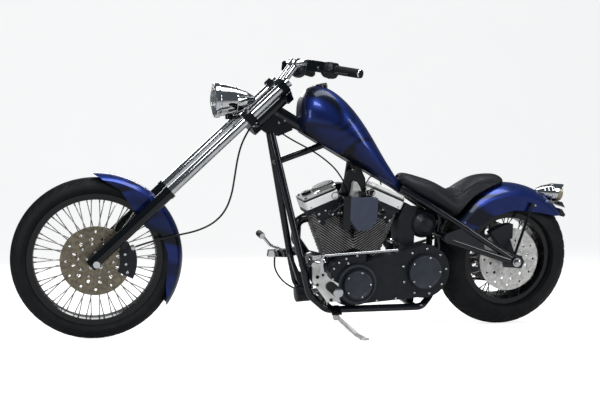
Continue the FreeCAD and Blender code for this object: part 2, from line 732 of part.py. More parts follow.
def make_front_caliper():
    """The front caliper behind the axle, on a carrier from the left leg."""
    disc_low = size("front_hub_half_width") + size("seat_gap")
    disc_high = disc_low + size("disc_thickness")
    inner, outer = disc_low - 15, size("fork_half_spacing") - size("slider_radius") - size("seat_gap")
    centre = FRONT_AXLE
    ring = Part.makeCylinder(168, outer - inner, V(centre.x, inner, centre.z), V(0, 1, 0))
    core = Part.makeCylinder(100, outer - inner, V(centre.x, inner, centre.z), V(0, 1, 0))
    wedge = plate([(centre.x, centre.z), (centre.x - 230, centre.z + 95), (centre.x - 230, centre.z - 115)],
                  inner, outer)
    caliper = ring.cut(core).common(wedge)
    slot = Part.makeCylinder(size("disc_radius") + 6, size("disc_thickness") + 10,
                             V(centre.x, disc_low - 5, centre.z), V(0, 1, 0))
    caliper = caliper.cut(slot)
    arm_low, arm_high = disc_high + 5, outer
    lug = FORK.multVec(V(-30, 0, 134))
    arm = plate([(centre.x - 158, centre.z + 20), (centre.x - 104, centre.z + 30),
                 (lug.x + 17, lug.z - 9), (lug.x + 2, lug.z + 14), (lug.x - 20, lug.z + 4)],
                arm_low, arm_high)
    banjo = FORK.multVec(BANJO)
    fitting = Part.makeCylinder(9, arm_high - arm_low, V(banjo.x, arm_low, banjo.z), V(0, 1, 0))
    keep_shape(joined([caliper, arm, fitting]), "front_caliper")


# ---------------------------------------------------------------- frame
# the backbone's two ends, the downtube's ends and the seat joint, upright machine
BACKBONE_FRONT = V(-745, 0, 989)
BACKBONE_REAR = V(-1400, 0, 622)
DOWNTUBE_TOP = V(-742, 22, 885)
DOWNTUBE_FOOT = V(-880, 120, 300)
PIVOT = V(-1526, 0, 440)


def neck_axis(place):
    """A point on the steering axis, that far up the fork."""
    return FORK.multVec(V(-size("stem_offset"), 0, place))


def make_frame_front():
    """Steering neck, backbone and the gusset between them."""
    low = size("lower_clamp_place") + size("lower_clamp_depth") + size("neck_end_gap")
    high = size("upper_clamp_place") - size("neck_end_gap")
    neck = rod(neck_axis(low), neck_axis(high), size("neck_radius"))
    backbone = rod(BACKBONE_FRONT, BACKBONE_REAR, size("backbone_radius"))
    front, behind = neck_axis(low + 3), neck_axis(low + 3) - FORK_AHEAD * 66
    gusset = plate([(front.x, front.z), (behind.x, behind.z), (-775, 872), (-838, 900), (-800, 985)], -13, 13)
    stem_bore = rod(neck_axis(low - 5), neck_axis(high + 5), size("stem_radius") + size("running_gap"))
    shape = joined([neck, backbone, gusset]).cut(stem_bore)
    return keep_shape(shape, "frame_backbone")


def make_frame_cradle():
    """Left and right cradle tubes: down from the neck, back under the engine and up to the seat."""
    rail, height, post = size("rail_half_spacing"), size("rail_height"), size("post_half_spacing")
    points = [DOWNTUBE_TOP, DOWNTUBE_FOOT, V(-906, rail, 190), V(-985, rail, height), V(-1430, rail, height),
              V(-1500, 56, 156), V(PIVOT.x, post, 245), V(PIVOT.x, post, 542), V(-1392, 26, 620)]
    radius = size("frame_tube_radius")
    backbone, tank = upright_shape("frame_backbone"), upright_shape("oil_tank")
    for name, side, side_points in (("left", 1, both_sides(points)[0]), ("right", -1, both_sides(points)[1])):
        tube = bent_bar(side_points, radius, 60.0)
        tab = block(V(PIVOT.x, side * post - 12, 470), V(PIVOT.x + 40, side * post + 12, 505))
        pieces = [tube, tab]
        if name == "left":
            pieces += stand_bracket()
        keep_shape(largest(joined(pieces).cut([backbone, tank])), f"frame_cradle_{name}")


def upright_shape(label):
    """A finished sub-part's shape in the upright machine's frame."""
    shape = subparts[label].Shape.copy()
    shape.Placement = LEANED.inverse().multiply(shape.Placement)
    return shape


def make_frame_cross():
    """Cross tubes between the cradle's sides, with the brace up to the backbone."""
    radius = size("frame_tube_radius") - 1
    high = DOWNTUBE_TOP + (DOWNTUBE_FOOT - DOWNTUBE_TOP) * 0.215
    brace_top = V(-985, 0, 838)
    pieces = [rod(V(high.x, -high.y, high.z), high, radius), rod(V(high.x, 0, high.z), brace_top, radius)]
    rail, height, spread = size("rail_half_spacing"), size("rail_height"), size("swing_half_spacing")
    bars = [joined(pieces), rod(V(-1010, -rail, height), V(-1010, rail, height), radius),
            rod(V(-1400, -rail, height), V(-1400, rail, height), radius),
            rod(V(PIVOT.x, -spread, PIVOT.z), V(PIVOT.x, spread, PIVOT.z), radius)]
    cutters = [upright_shape(label) for label in ("frame_backbone", "frame_cradle_left", "frame_cradle_right",
                                                  "rear_frame_left", "rear_frame_right")]
    trimmed = [solid for bar in bars for solid in bar.cut(cutters).Solids if solid.Volume > 9000]
    keep_shape(Part.makeCompound(trimmed), "frame_cross_tubes")


def largest(shape):
    """The largest solid of a shape."""
    return max(shape.Solids, key=lambda solid: solid.Volume)


def upper_tube_route():
    """Route of the left upper rear tube, from the seat joint to the axle plate."""
    spread = size("swing_half_spacing")
    return [V(-1335, 60, 650), V(-1440, 120, 587), V(-1630, spread, 471), V(-1800, spread, 368), V(-1842, spread, 343)]


def make_rear_frame():
    """The rear triangle each side: upper tube, lower tube and axle plate."""
    spread, thick = size("swing_half_spacing"), size("swing_plate_thickness")
    radius = size("rear_tube_radius")
    axle = REAR_AXLE
    for name, side in (("left", 1), ("right", -1)):
        upper = bent_bar([V(p.x, side * p.y, p.z) for p in upper_tube_route()], radius, 60.0)
        lower = rod(V(PIVOT.x - 8, side * spread, PIVOT.z - 12), V(-1835, side * spread, 330), radius)
        boss = collar(V(PIVOT.x, side * spread, PIVOT.z), V(0, 1, 0), 23, 34)
        panel = plate([(PIVOT.x - 4, 462), (PIVOT.x - 4, 424), (-1715, 366), (-1700, 428), (-1604, 488)],
                      side * spread - 3, side * spread + 3)
        ear = plate([(axle.x + 78, axle.z + 52), (axle.x + 60, axle.z - 22), (axle.x - 30, axle.z - 30),
                     (axle.x - 42, axle.z), (axle.x - 28, axle.z + 28)],
                    side * spread - thick / 2, side * spread + thick / 2)
        hole = collar(V(axle.x, side * spread, axle.z), V(0, 1, 0),
                      size("rear_axle_radius") + size("seat_gap"), 60)
        shape = joined([upper, lower, boss, panel, ear]).cut([hole, upright_shape("frame_backbone"),
                                                 upright_shape(f"frame_cradle_{name}")])
        keep_shape(largest(shape), f"rear_frame_{name}")


def make_rear_axle():
    """The rear axle with its spacers and nuts."""
    spread, thick = size("swing_half_spacing"), size("swing_plate_thickness")
    plate_in = spread - thick / 2 - size("seat_gap")
    plate_out = spread + thick / 2 + size("seat_gap")
    left_hub = size("rear_hub_half_width") + size("seat_gap") + size("disc_thickness") + 1
    right_hub = size("rear_hub_half_width") + 18 + size("pulley_width") + size("seat_gap") + 1
    shapes = [Part.makeCylinder(size("rear_axle_radius"), 2 * plate_out, V(0, 0, -plate_out)),
              rod(V(0, 0, left_hub), V(0, 0, plate_in), 18.0),
              rod(V(0, 0, -right_hub), V(0, 0, -plate_in), 18.0)]
    for side in (-1, 1):
        shapes.append(rod(V(0, 0, side * plate_out), V(0, 0, side * (plate_out + 12)), 20.0))
    keep_shape(joined(shapes), "rear_axle", REAR_WHEEL)


def make_rear_caliper():
    """The rear caliper over the disc, on a carrier held by the axle."""
    disc_low = size("rear_hub_half_width") + size("seat_gap")
    disc_high = disc_low + size("disc_thickness")
    inner, outer = disc_low - 18, disc_high + 24
    centre = REAR_AXLE
    ring = Part.makeCylinder(168, outer - inner, V(centre.x, inner, centre.z), V(0, 1, 0))
    core = Part.makeCylinder(100, outer - inner, V(centre.x, inner, centre.z), V(0, 1, 0))
    wedge = plate([(centre.x, centre.z), (centre.x + 165, centre.z + 190), (centre.x + 2, centre.z + 230)],
                  inner, outer)
    caliper = ring.cut(core).common(wedge)
    slot = Part.makeCylinder(size("disc_radius") + 6, size("disc_thickness") + 10,
                             V(centre.x, disc_low - 5, centre.z), V(0, 1, 0))
    low, high = disc_high + 8, disc_high + 18
    arm = plate([(centre.x + 28, centre.z - 22), (centre.x + 105, centre.z + 110), (centre.x + 20, centre.z + 125),
                 (centre.x - 26, centre.z + 10), (centre.x - 18, centre.z - 22)], low, high)
    hole = collar(V(centre.x, (low + high) / 2, centre.z), V(0, 1, 0), 18.0 + size("seat_gap"), 40)
    keep_shape(joined([caliper.cut(slot), arm]).cut(hole), "rear_caliper")


# ---------------------------------------------------------------- engine
def make_crankcase():
    """The crankcase: a round belly with two decks for the cylinders."""
    case = Maker("crankcase")
    half = "118"
    slope = "sin(vee_half_angle)"
    rise = "cos(vee_half_angle)"
    outline = [
        (f"crank_x + {half}", "crank_z", "crank_x", "crank_z", "clockwise"),
        (f"crank_x - {half}", "crank_z"),
        (f"crank_x - deck_height * {slope} - 66 * {rise}", f"crank_z + deck_height * {rise} - 66 * {slope}"),
        ("crank_x", f"crank_z + deck_height / {rise}"),
        (f"crank_x + deck_height * {slope} + 66 * {rise}", f"crank_z + deck_height * {rise} - 66 * {slope}"),
    ]
    case.pad(case.sketch("XZ_Plane", outline, offset="-case_half_width"), "2 * case_half_width")
    lug = case.sketch("XZ_Plane", [("-1060", "160"), ("-1010", "220"), ("-996", "215"), ("-992", "140"),
                                   ("-1028", "rail_height + frame_tube_radius - 0.7")], offset="-30")
    case.pad(lug, "60")
    keep(case.body, "crankcase", UPRIGHT)


def rounded_square(half, corner):
    """Outline of a square with round corners."""
    inner = f"({half} - {corner})"
    return [
        (half, f"-{inner}"), (half, inner, inner, inner),
        (inner, half), (f"-{inner}", half, f"-{inner}", inner),
        (f"-{half}", inner), (f"-{half}", f"-{inner}", f"-{inner}", f"-{inner}"),
        (f"-{inner}", f"-{half}"), (inner, f"-{half}", inner, f"-{inner}"),
    ]


def make_cylinder(end, place):
    """A finned cylinder with its finned head."""
    maker = Maker(f"{end}_cylinder")
    fins = int(round((size("cylinder_height") + size("head_height")) / size("fin_pitch")))
    maker.pad(maker.sketch("XY_Plane", circles=[("0", "0", "barrel_radius")],
                           offset="deck_height + seat_gap"),
              "cylinder_height + head_height - seat_gap")
    fin = maker.pad(maker.sketch("XY_Plane", rounded_square("fin_half_width", "fin_corner"),
                                 offset="deck_height + fin_pitch"), "fin_thickness")
    maker.repeat_along(fin, "Z_Axis", "fin_pitch", fins - 1)
    side = 1 if end == "front" else -1
    slant = "(1.5 + {0} * cos(vee_half_angle)) / sin(vee_half_angle)"
    maker.pocket_through(maker.sketch("XZ_Plane", [
        (f"{-side * 100}", "60"), (f"{-side * 100}", slant.format(100)), (f"{-side * 20}", slant.format(20)),
        (f"{-side * 20}", "60")]))
    keep(maker.body, f"{end}_cylinder", place)


def make_rocker_cover(end, place):
    """The rocker cover: a bright band, a narrower box over it, and a small dome on top."""
    maker = Maker(f"{end}_rocker_cover")
    base = "deck_height + cylinder_height + head_height"
    maker.pad(maker.sketch("XY_Plane", rounded_square("79", "14"), offset=f"{base} + seat_gap"), "30")
    maker.pad(maker.sketch("XY_Plane", rounded_square("74", "12"), offset=f"{base} + 29"), "4")
    maker.pad(maker.sketch("XY_Plane", rounded_square("77", "14"), offset=f"{base} + 32"), "rocker_height - 32")
    maker.pad(maker.sketch("XY_Plane", circles=[("0", "46", "17")], offset=f"{base} + rocker_height - 1"), "7")
    maker.pad(maker.sketch("XY_Plane", circles=[("0", "46", "9")], offset=f"{base} + rocker_height + 5"), "5")
    keep(maker.body, f"{end}_rocker_cover", place)


# how far out the inner face of each foot control's plate is
FOOT_PLATE_PLACE = 144.0


def make_primary():
    """The primary cover on the left: two rounds joined over the chain run, and its front plate."""
    front, rear = size("primary_front_radius"), size("primary_rear_radius")
    reach, gap = size("primary_reach"), size("seat_gap")
    low, high = size("fin_half_width") + 2 + gap, 168.0
    rear_centre = V(CRANK.x - reach, 0, CRANK.z + 48)

    def drum(centre, radius, start, end):
        return Part.makeCylinder(radius, end - start, V(centre.x, start, centre.z), V(0, 1, 0))

    lobes = [drum(CRANK, front, low, high - 14), drum(CRANK, front * 0.72, size("case_half_width") + gap, high),
             drum(rear_centre, rear, low, high - 26), drum(rear_centre, rear * 0.66, low, high - 8)]
    web = plate([(CRANK.x - 15, CRANK.z + front - 2), (rear_centre.x + 20, rear_centre.z + rear - 3),
                 (rear_centre.x + 20, rear_centre.z - rear + 3), (CRANK.x - 10, CRANK.z - front + 1)],
                low, high - 26)
    nose = plate([(CRANK.x - 40, CRANK.z + 132), (-1042, 352), (-1006, 326), (-994, 288), (-1004, 244),
                  (-1040, 176), (CRANK.x - 20, 160)], low, FOOT_PLATE_PLACE - gap)
    keep_shape(joined(lobes + [web, nose]), "primary_cover")


def make_transmission():
    """The gearbox behind the engine."""
    left = size("fin_half_width") + 2
    case = block(V(-1480, -84, 172), V(-1262, left, 338))
    foot = block(V(-1418, -60, 130), V(-1382, 60, 172))
    drive = Part.makeCylinder(BELT_FRONT_RADIUS - 0.8, size("pulley_width"),
                              V(BELT_FRONT.x, -belt_outer_place(), BELT_FRONT.z), V(0, 1, 0))
    shaft = rod(V(BELT_FRONT.x, -belt_outer_place(), BELT_FRONT.z), V(BELT_FRONT.x, -80, BELT_FRONT.z), 26)
    post = block(V(-1312, 24, 336), V(-1284, 52, 420))
    shifter = rod(V(-1298, 38, 412), V(-1298, 205, 412), 7)
    tip = rod(V(-1298, 194, 412), V(-1285, 194, 396), 8)
    shape = joined([case, foot, drive, shaft, post, shifter, tip]).cut(upright_shape("frame_cross_tubes"))
    keep_shape(largest(shape), "transmission")


# the belt's front pulley
BELT_FRONT = V(-1425, 0, 286)
BELT_FRONT_RADIUS = 58.0


def belt_outer_place():
    """How far out on the right the belt's outer edge runs."""
    return size("rear_hub_half_width") + size("seat_gap") + 18 + size("pulley_width")


def make_belt():
    """The final drive belt, one loop round both pulleys."""
    outer, width = belt_outer_place(), size("pulley_width") - 2

    def loop(grow):
        rear, front = size("pulley_radius") + 0.8 + grow, BELT_FRONT_RADIUS + grow
        span = BELT_FRONT - REAR_AXLE
        slope = math.atan2(span.z, span.x)
        lift = math.acos((rear - front) / span.Length)
        points = []
        for turn in (lift, -lift):
            way = V(math.cos(slope + turn), 0, math.sin(slope + turn))
            points.append((REAR_AXLE + way * rear, BELT_FRONT + way * front))
        (rear_top, front_top), (rear_low, front_low) = points
        ahead = V(math.cos(slope), 0, math.sin(slope))
        edges = [Part.LineSegment(rear_top, front_top).toShape(),
                 Part.Arc(front_top, BELT_FRONT + ahead * front, front_low).toShape(),
                 Part.LineSegment(front_low, rear_low).toShape(),
                 Part.Arc(rear_low, REAR_AXLE - ahead * rear, rear_top).toShape()]
        face = Part.Face(Part.Wire(edges))
        return face.translated(V(0, -outer + 1, 0)).extrude(V(0, width, 0))

    keep_shape(loop(size("belt_thickness")).cut(loop(0)), "drive_belt")


def make_cam_cover():
    """The timing cover on the right of the crankcase."""
    low = -size("case_half_width") - size("seat_gap")
    cover = Part.makeCylinder(72, 26, V(CRANK.x + 18, low, CRANK.z + 8), V(0, -1, 0))
    nose = Part.makeCylinder(48, 30, V(CRANK.x + 62, low, CRANK.z + 60), V(0, -1, 0))
    tappets = block(V(CRANK.x - 64, low - 22, CRANK.z + 78), V(CRANK.x + 82, low, CRANK.z + 118))
    keep_shape(joined([cover, nose, tappets]), "cam_cover")


def make_air_cleaner():
    """The round air cleaner on the right, and the intake between the cylinders."""
    centre = V(CRANK.x, 0, CRANK.z + 330)
    manifold = rod(V(centre.x - 95, 0, centre.z), V(centre.x + 95, 0, centre.z), 19)
    intake = rod(V(centre.x, 36, centre.z), V(centre.x, -120, centre.z), 22)
    cable_boss = rod(V(CABLE_END.x, CABLE_END.y, centre.z), V(CABLE_END.x, CABLE_END.y, CABLE_END.z - 1.6), 8)
    drum = Part.makeCylinder(88, 50, V(centre.x + 6, -120, centre.z - 4), V(0, -1, 0))
    cutters = [upright_shape(label) for label in ("front_cylinder", "rear_cylinder")]
    keep_shape(largest(joined([manifold, intake, cable_boss, drum]).cut(cutters)), "air_cleaner")


# where the control cable meets the intake
CABLE_END = V(-1104, 26, 604)


def make_top_mount():
    """The bracket from the heads up to the backbone, with an arm for the coil cover."""
    x, z = CRANK.x, CRANK.z
    under = backbone_z(x)
    post = plate([(x - 62, z + 372), (x + 62, z + 372), (x + 34, z + 420), (x + 18, under), (x - 18, under - 8),
                  (x - 34, z + 420)], -9, 9)
    arm = block(V(x - 44, -9, z + 372), V(x - 22, 84 - size("seat_gap"), z + 400))
    labels = ("frame_backbone", "front_rocker_cover", "rear_rocker_cover", "front_cylinder", "rear_cylinder",
              "air_cleaner", "fuel_tank")
    shape = joined([post, arm]).cut([upright_shape(label) for label in labels])
    keep_shape(largest(shape), "top_mount")


def make_coil_cover():
    """The box on the left between the cylinders, with a round lower end."""
    low, high = 84.0, 138.0
    cover = Maker("coil_cover")
    cover.pad(cover.sketch("XZ_Plane", [
        ("-1200", "615"), ("-1200", "520"), ("-1164", "474"), ("-1112", "474"), ("-1076", "520"), ("-1076", "615")],
        offset=str(-high)), str(high - low))
    keep(cover.body, "coil_cover", UPRIGHT)


def make_exhaust():
    """Two pipes on the right, swept down from the heads and back along the machine."""
    radius = 22.0
    front = [V(-945, -30, 514), V(-882, -45, 494), V(-890, -80, 400), V(-952, -120, 322), V(-1060, -146, 292),
             V(-1180, -188, 262), V(-1400, -192, 256), V(-1830, -205, 262)]
    rear = [V(-1290, -35, 510), V(-1352, -62, 500), V(-1368, -122, 440), V(-1352, -172, 372), V(-1400, -192, 322),
            V(-1500, -193, 312), V(-1880, -205, 332)]
    heads = [upright_shape("front_cylinder"), upright_shape("rear_cylinder")]
    front_pipe = largest(bent_bar(front, radius, 44.0).cut(heads))
    keep_shape(front_pipe, "front_exhaust")
    rear_pipe = bent_bar(rear, radius, 40.0)
    spread = size("swing_half_spacing")
    hanger = [rod(V(-1690, -spread, 386), V(-1690, -200, 330), 8), block(V(-1705, -203, 262), V(-1675, -195, 330))]
    rear_pipe = joined([rear_pipe] + hanger).cut(heads + [front_pipe, upright_shape("rear_frame_right")])
    keep_shape(largest(rear_pipe), "rear_exhaust")


def make_oil_tank():
    """The round oil tank under the seat, with domed ends."""
    tank = Maker("oil_tank")
    tank.revolve(tank.sketch("XZ_Plane", [
        ("0", "-118"), ("30", "-112"), ("54", "-94"), ("64", "-66"), ("64", "66"), ("54", "94"), ("30", "112"),
        ("0", "118")]))
    keep(tank.body, "oil_tank", FreeCAD.Placement(V(-1442, 0, 490), FreeCAD.Rotation(V(1, 0, 0), -90)))


def make_battery_box():
    """The box behind the rear cylinder, against the oil tank."""
    box = plate([(-1320, 348), (-1320, 520), (-1352, 588), (-1398, 566), (-1398, 348)], -8, 82)
    cutters = [upright_shape(label) for label in ("oil_tank", "transmission", "rear_cylinder", "rear_exhaust",
                                                  "primary_cover", "frame_cross_tubes", "seat")]
    keep_shape(largest(box.cut(cutters)), "battery_box")


def canister():
    """The round canister low down ahead of the crankcase, on its neck."""
    neck = rod(V(-1004, 0, 184), V(-930, 0, 170), 14)
    can = Part.makeCylinder(37, 66, V(-876, 0, 168), V(-1, 0, 0.06))
    shape = joined([neck, can]).cut([upright_shape("crankcase"), upright_shape("frame_cross_tubes")])
    return largest(shape)


def make_oil_filter():
    """The filter on the front of the crankcase, and the canister below it."""
    base, mid, end = V(-996, 46, 312), V(-978, 48, 318), V(-912, 54, 340)
    shape = joined([rod(base, mid, 15), rod(mid, end, 33)]).cut(upright_shape("crankcase"))
    keep_shape(joined([largest(shape), canister()]), "oil_filter")


# ---------------------------------------------------------------- bodywork
def backbone_z(x):
    """Height of the backbone's centre line."""
    share = (x - BACKBONE_FRONT.x) / (BACKBONE_REAR.x - BACKBONE_FRONT.x)
    return BACKBONE_FRONT.z + (BACKBONE_REAR.z - BACKBONE_FRONT.z) * share


# fuel tank sections: x, height of the top, half width; the floor follows the backbone
TANK_SECTIONS = [(-876, 1045, 66), (-905, 1084, 92), (-965, 1092, 116), (-1045, 1052, 128), (-1120, 980, 122),
                 (-1195, 880, 100), (-1270, 768, 70), (-1338, 668, 36)]


def make_fuel_tank():
    """The fuel tank, lofted over the backbone, with a tunnel for it, and its caps."""
    drop = size("backbone_radius") * 1.16
    sections = [(x, backbone_z(x) - drop, top, half) for x, top, half in TANK_SECTIONS]
    body = section_loft(sections, 0.42)
    gap = 0.4
    radius = size("backbone_radius") + gap
    along = (BACKBONE_REAR - BACKBONE_FRONT).normalize()
    tunnel = rod(BACKBONE_FRONT - along * 60, BACKBONE_REAR + along * 60, radius)
    slot = plate([(-700, backbone_z(-700)), (-1460, backbone_z(-1460)), (-1460, backbone_z(-1460) - 80),
                  (-700, backbone_z(-700) - 80)], -radius, radius)
    keep_shape(body.cut([tunnel, slot]), "fuel_tank")
    cap = rod(V(-972, 0, 1060), V(-962, 0, 1103), 25)
    keep_shape(largest(cap.cut(upright_shape("fuel_tank"))), "filler_cap")


# seat sections: x, floor, top, half width
SEAT_SECTIONS = [(-1334, 672, 698, 40), (-1362, 652, 713, 74), (-1440, 604, 690, 118), (-1530, 552, 655, 132),
                 (-1590, 520, 634, 126), (-1650, 520, 668, 112), (-1720, 540, 700, 102), (-1790, 560, 706, 90),
                 (-1848, 620, 676, 62)]


def make_seat():
    """The stepped seat, resting on the frame's upper tubes and on the rear fender."""
    body = section_loft(SEAT_SECTIONS, 0.45)
    clear = size("seat_gap")
    wheel_arch = Part.makeCylinder(size("rear_fender_radius") + clear, 2 * size("rear_fender_half_width") + 60,
                                   V(REAR_AXLE.x, -size("rear_fender_half_width") - 30, REAR_AXLE.z), V(0, 1, 0))
    grown = size("rear_tube_radius") + clear
    tubes = [bent_bar([V(p.x, side * p.y, p.z) for p in upper_tube_route()], grown, 60.0) for side in (-1, 1)]
    tubes += [rod(V(PIVOT.x, side * size("post_half_spacing"), 500), V(PIVOT.x, side * size("post_half_spacing"), 545),
                  grown + 1) for side in (-1, 1)]
    tubes += [rod(V(PIVOT.x, side * size("post_half_spacing"), 542), V(-1392, side * 26, 620), grown + 1)
              for side in (-1, 1)]
    hull = rod(BACKBONE_FRONT, BACKBONE_REAR, size("backbone_radius") + clear)
    keep_shape(largest(body.cut([wheel_arch, hull, upright_shape("fuel_tank")] + tubes)), "seat")


# lower edge of the rear fender: x and z from the rear axle, front first
REAR_FENDER_EDGE = [(330, 120), (197, 140), (143, 172), (92, 208), (-6, 232), (-122, 221), (-206, 205),
                    (-300, 204), (-300, -50), (330, -50)]


def make_rear_fender():
    """The rear fender, short and wide, its sides cut to a sweeping edge."""
    arch = fender_arch(size("rear_fender_radius"), size("rear_fender_half_width"), 190, REAR_AXLE, 35, 110)
    half = size("rear_fender_half_width") + 5
    trim = plate([(REAR_AXLE.x + x, REAR_AXLE.z + z) for x, z in REAR_FENDER_EDGE], -half, half)
    keep_shape(largest(arch.cut(trim)), "rear_fender")
    struts = []
    for side in (-1, 1):
        spread, half_width = size("swing_half_spacing"), size("rear_fender_half_width")
        low = V(REAR_AXLE.x + 6, side * (spread + 2), REAR_AXLE.z + 36)
        high = V(REAR_AXLE.x - 80, side * (half_width + 13), REAR_AXLE.z + 258)
        struts.append(joined([rod(low, high, 6.5), rod(high + V(0, side * 8, 0), high - V(0, side * 14, 0), 9)]))
    cutters = [upright_shape(label) for label in ("rear_frame_left", "rear_frame_right", "rear_fender")]
    keep_shape(Part.makeCompound([largest(strut.cut(cutters)) for strut in struts]), "fender_struts")


def make_tail_lamp():
    """The tail lamp on the fender, a long drop with its lens behind."""
    place = FreeCAD.Placement(V(-2026, 0, 628), FreeCAD.Rotation(V(0, 1, 0), -93))
    profile = [V(0, 0, -6), V(14, 0, 4), V(29, 0, 34), V(39, 0, 76), V(41, 0, 100), V(0, 0, 100)]
    face = Part.Face(Part.makePolygon(profile + profile[:1]))
    housing = face.revolve(V(0, 0, 0), V(0, 0, 1), 360)
    dome = Part.makeSphere(58, V(0, 0, 84), V(0, 0, 1)).common(Part.makeCylinder(38, 70, V(0, 0, 100.3)))
    arch = Part.makeCylinder(size("rear_fender_radius") + size("seat_gap"), 300,
                             V(REAR_AXLE.x, -150, REAR_AXLE.z), V(0, 1, 0))
    housing.Placement = place
    dome.Placement = place.multiply(dome.Placement)
    keep_shape(largest(housing.cut(arch)), "tail_lamp")
    keep_shape(largest(dome.cut(arch)), "tail_lens")


# ---------------------------------------------------------------- controls and stand
# how far out each peg ends
PEG_END = 300.0


def make_foot_controls():
    """Forward foot controls: bracket and peg each side, the shifter left, the brake pedal right."""
    outline = [(-925, 372), (-900, 340), (-940, 258), (-1000, 168), (-1040, 160), (-1010, 240), (-960, 300),
               (-945, 372)]
    for name, side in (("left", 1), ("right", -1)):
        low, high = sorted((side * FOOT_PLATE_PLACE, side * (FOOT_PLATE_PLACE + 14)))
        pieces = [plate(outline, low, high),
                  rod(V(-985, side * 157, 238), V(-985, side * PEG_END, 238), size("peg_radius")),
                  rod(V(-932, side * 157, 345), V(-932, side * 196, 345), 13),
                  rod(V(-985, side * 128, 150), V(-985, side * 146, 175), 10)]
        if name == "left":
            pieces += [rod(V(-932, 190, 345), V(-944, 200, 384), 7), rod(V(-944, 200, 378), V(-1278, 200, 397), 5),
                       bent_bar([V(-932, 188, 345), V(-905, 196, 352), V(-884, 200, 352)], 7, 20.0),
                       rod(V(-884, 192, 352), V(-884, 268, 352), 12)]
        else:
            pieces += [bent_bar([V(-932, -186, 345), V(-860, -200, 330), V(-800, -205, 352), V(-764, -210, 394)],
                                7, 24.0),
                       rod(V(-764, -203, 394), V(-764, -296, 394), 13),
                       plate([(-918, 352), (-866, 340), (-784, 336), (-780, 308), (-872, 304), (-934, 318)],
                             -182, -150)]
        shape = joined(pieces).cut([upright_shape(f"frame_cradle_{name}"), upright_shape("transmission")])
        keep_shape(largest(shape), f"{name}_foot_control")


STAND_PIVOT = V(-1018, 166, 104)
STAND_FOLDED = V(-0.975, 0.215, -0.04)
GROUND_UP = V(0, -math.sin(math.radians(LEAN)), COS_LEAN)


def stand_foot():
    """The middle of the stand's sole, on the ground."""
    out = size("stand_reach")
    return V(STAND_PIVOT.x - 77, out, out * TAN_LEAN)


def stand_hinge():
    """The stand's hinge axis and the turn in degrees that folds it."""
    deployed = (stand_foot() - STAND_PIVOT).normalize()
    axis = deployed.cross(STAND_FOLDED).normalize()
    return axis, math.degrees(deployed.getAngle(STAND_FOLDED))


def stand_bracket():
    """The lug on the left rail with the pin that the stand turns on."""
    axis, _ = stand_hinge()
    base = STAND_PIVOT + axis * 13.5
    lug = Part.makeBox(44, 62, 8, V(-22, -48, 0))
    lug.Placement = FreeCAD.Placement(base, FreeCAD.Rotation(V(0, 0, 1), axis))
    pin = rod(STAND_PIVOT - axis * 15, base + axis * 2, size("stand_pin_radius"))
    head = rod(STAND_PIVOT - axis * 17, STAND_PIVOT - axis * 12.5, 10)
    return [lug, pin, head]


# where along its leg the stand bends, and how far that lowers it
STAND_ELBOW_SHARE = 0.74
STAND_ELBOW_DROP = 10.0


def make_side_stand():
    """The side stand: boss, leg and a foot that lies flat on the ground."""
    axis, _ = stand_hinge()
    foot, pad = stand_foot(), size("stand_pad_thickness")
    boss = collar(STAND_PIVOT, axis, 14, 22)
    sole_top = foot + GROUND_UP * (pad - 1)
    elbow = STAND_PIVOT + (sole_top - STAND_PIVOT) * STAND_ELBOW_SHARE - V(0, 0, STAND_ELBOW_DROP)
    leg = bent_bar([STAND_PIVOT, elbow, sole_top], size("stand_leg_radius"), 30.0)
    sole = Part.makeCylinder(size("stand_pad_radius"), pad, foot, GROUND_UP)
    below = Part.makeCylinder(80, 60, foot - GROUND_UP * 60, GROUND_UP)
    hole = collar(STAND_PIVOT, axis, size("stand_pin_radius") + size("running_gap"), 60)
    keep_shape(joined([boss, leg, sole]).cut([below, hole]), "side_stand")


# ---------------------------------------------------------------- cords
# hose from the lower clamp down to the front caliper, in the fork's frame
BRAKE_HOSE = [V(-45, 50, 850.4), V(-60, 51, 795), V(-100, 53, 728), V(-152, 56, 662), V(-200, 59, 600),
              V(-232, 62, 532), V(-234, 65, 460), V(-208, 68, 388), V(-168, 70.5, 325), V(-130, 70.5, 262),
              V(-98, 70.5, 205), V(-75.8, 70.5, 157.6)]
# throttle cable from the neck gusset back to the intake, upright machine
CONTROL_CABLE = [V(-790, 16.8, 884), V(-826, 17, 862), V(-882, 22, 834), V(-936, 26, 806), V(-984, 28, 774),
                 V(-1028, 29, 738), V(-1062, 28, 696), V(-1088, 27, 650), CABLE_END]


# hose from the foot brake's block down to its canister, upright machine
RESERVOIR_HOSE = [V(-815, -166, 305.8), V(-812, -165, 268), V(-822, -159, 234), V(-842, -147, 204),
                  V(-864, -130, 184), V(-885, -107, 173), V(-899, -77, 170), V(-908, -38.4, 169.9)]


def make_cords():
    """The front brake hose, the foot brake's hose and the control cable."""
    cord("reservoir_hose", RESERVOIR_HOSE, size("hose_radius"), UPRIGHT)
    cord("front_brake_hose", BRAKE_HOSE, size("hose_radius"), FORK)
    cord("control_cable", CONTROL_CABLE, size("cable_radius"), UPRIGHT)


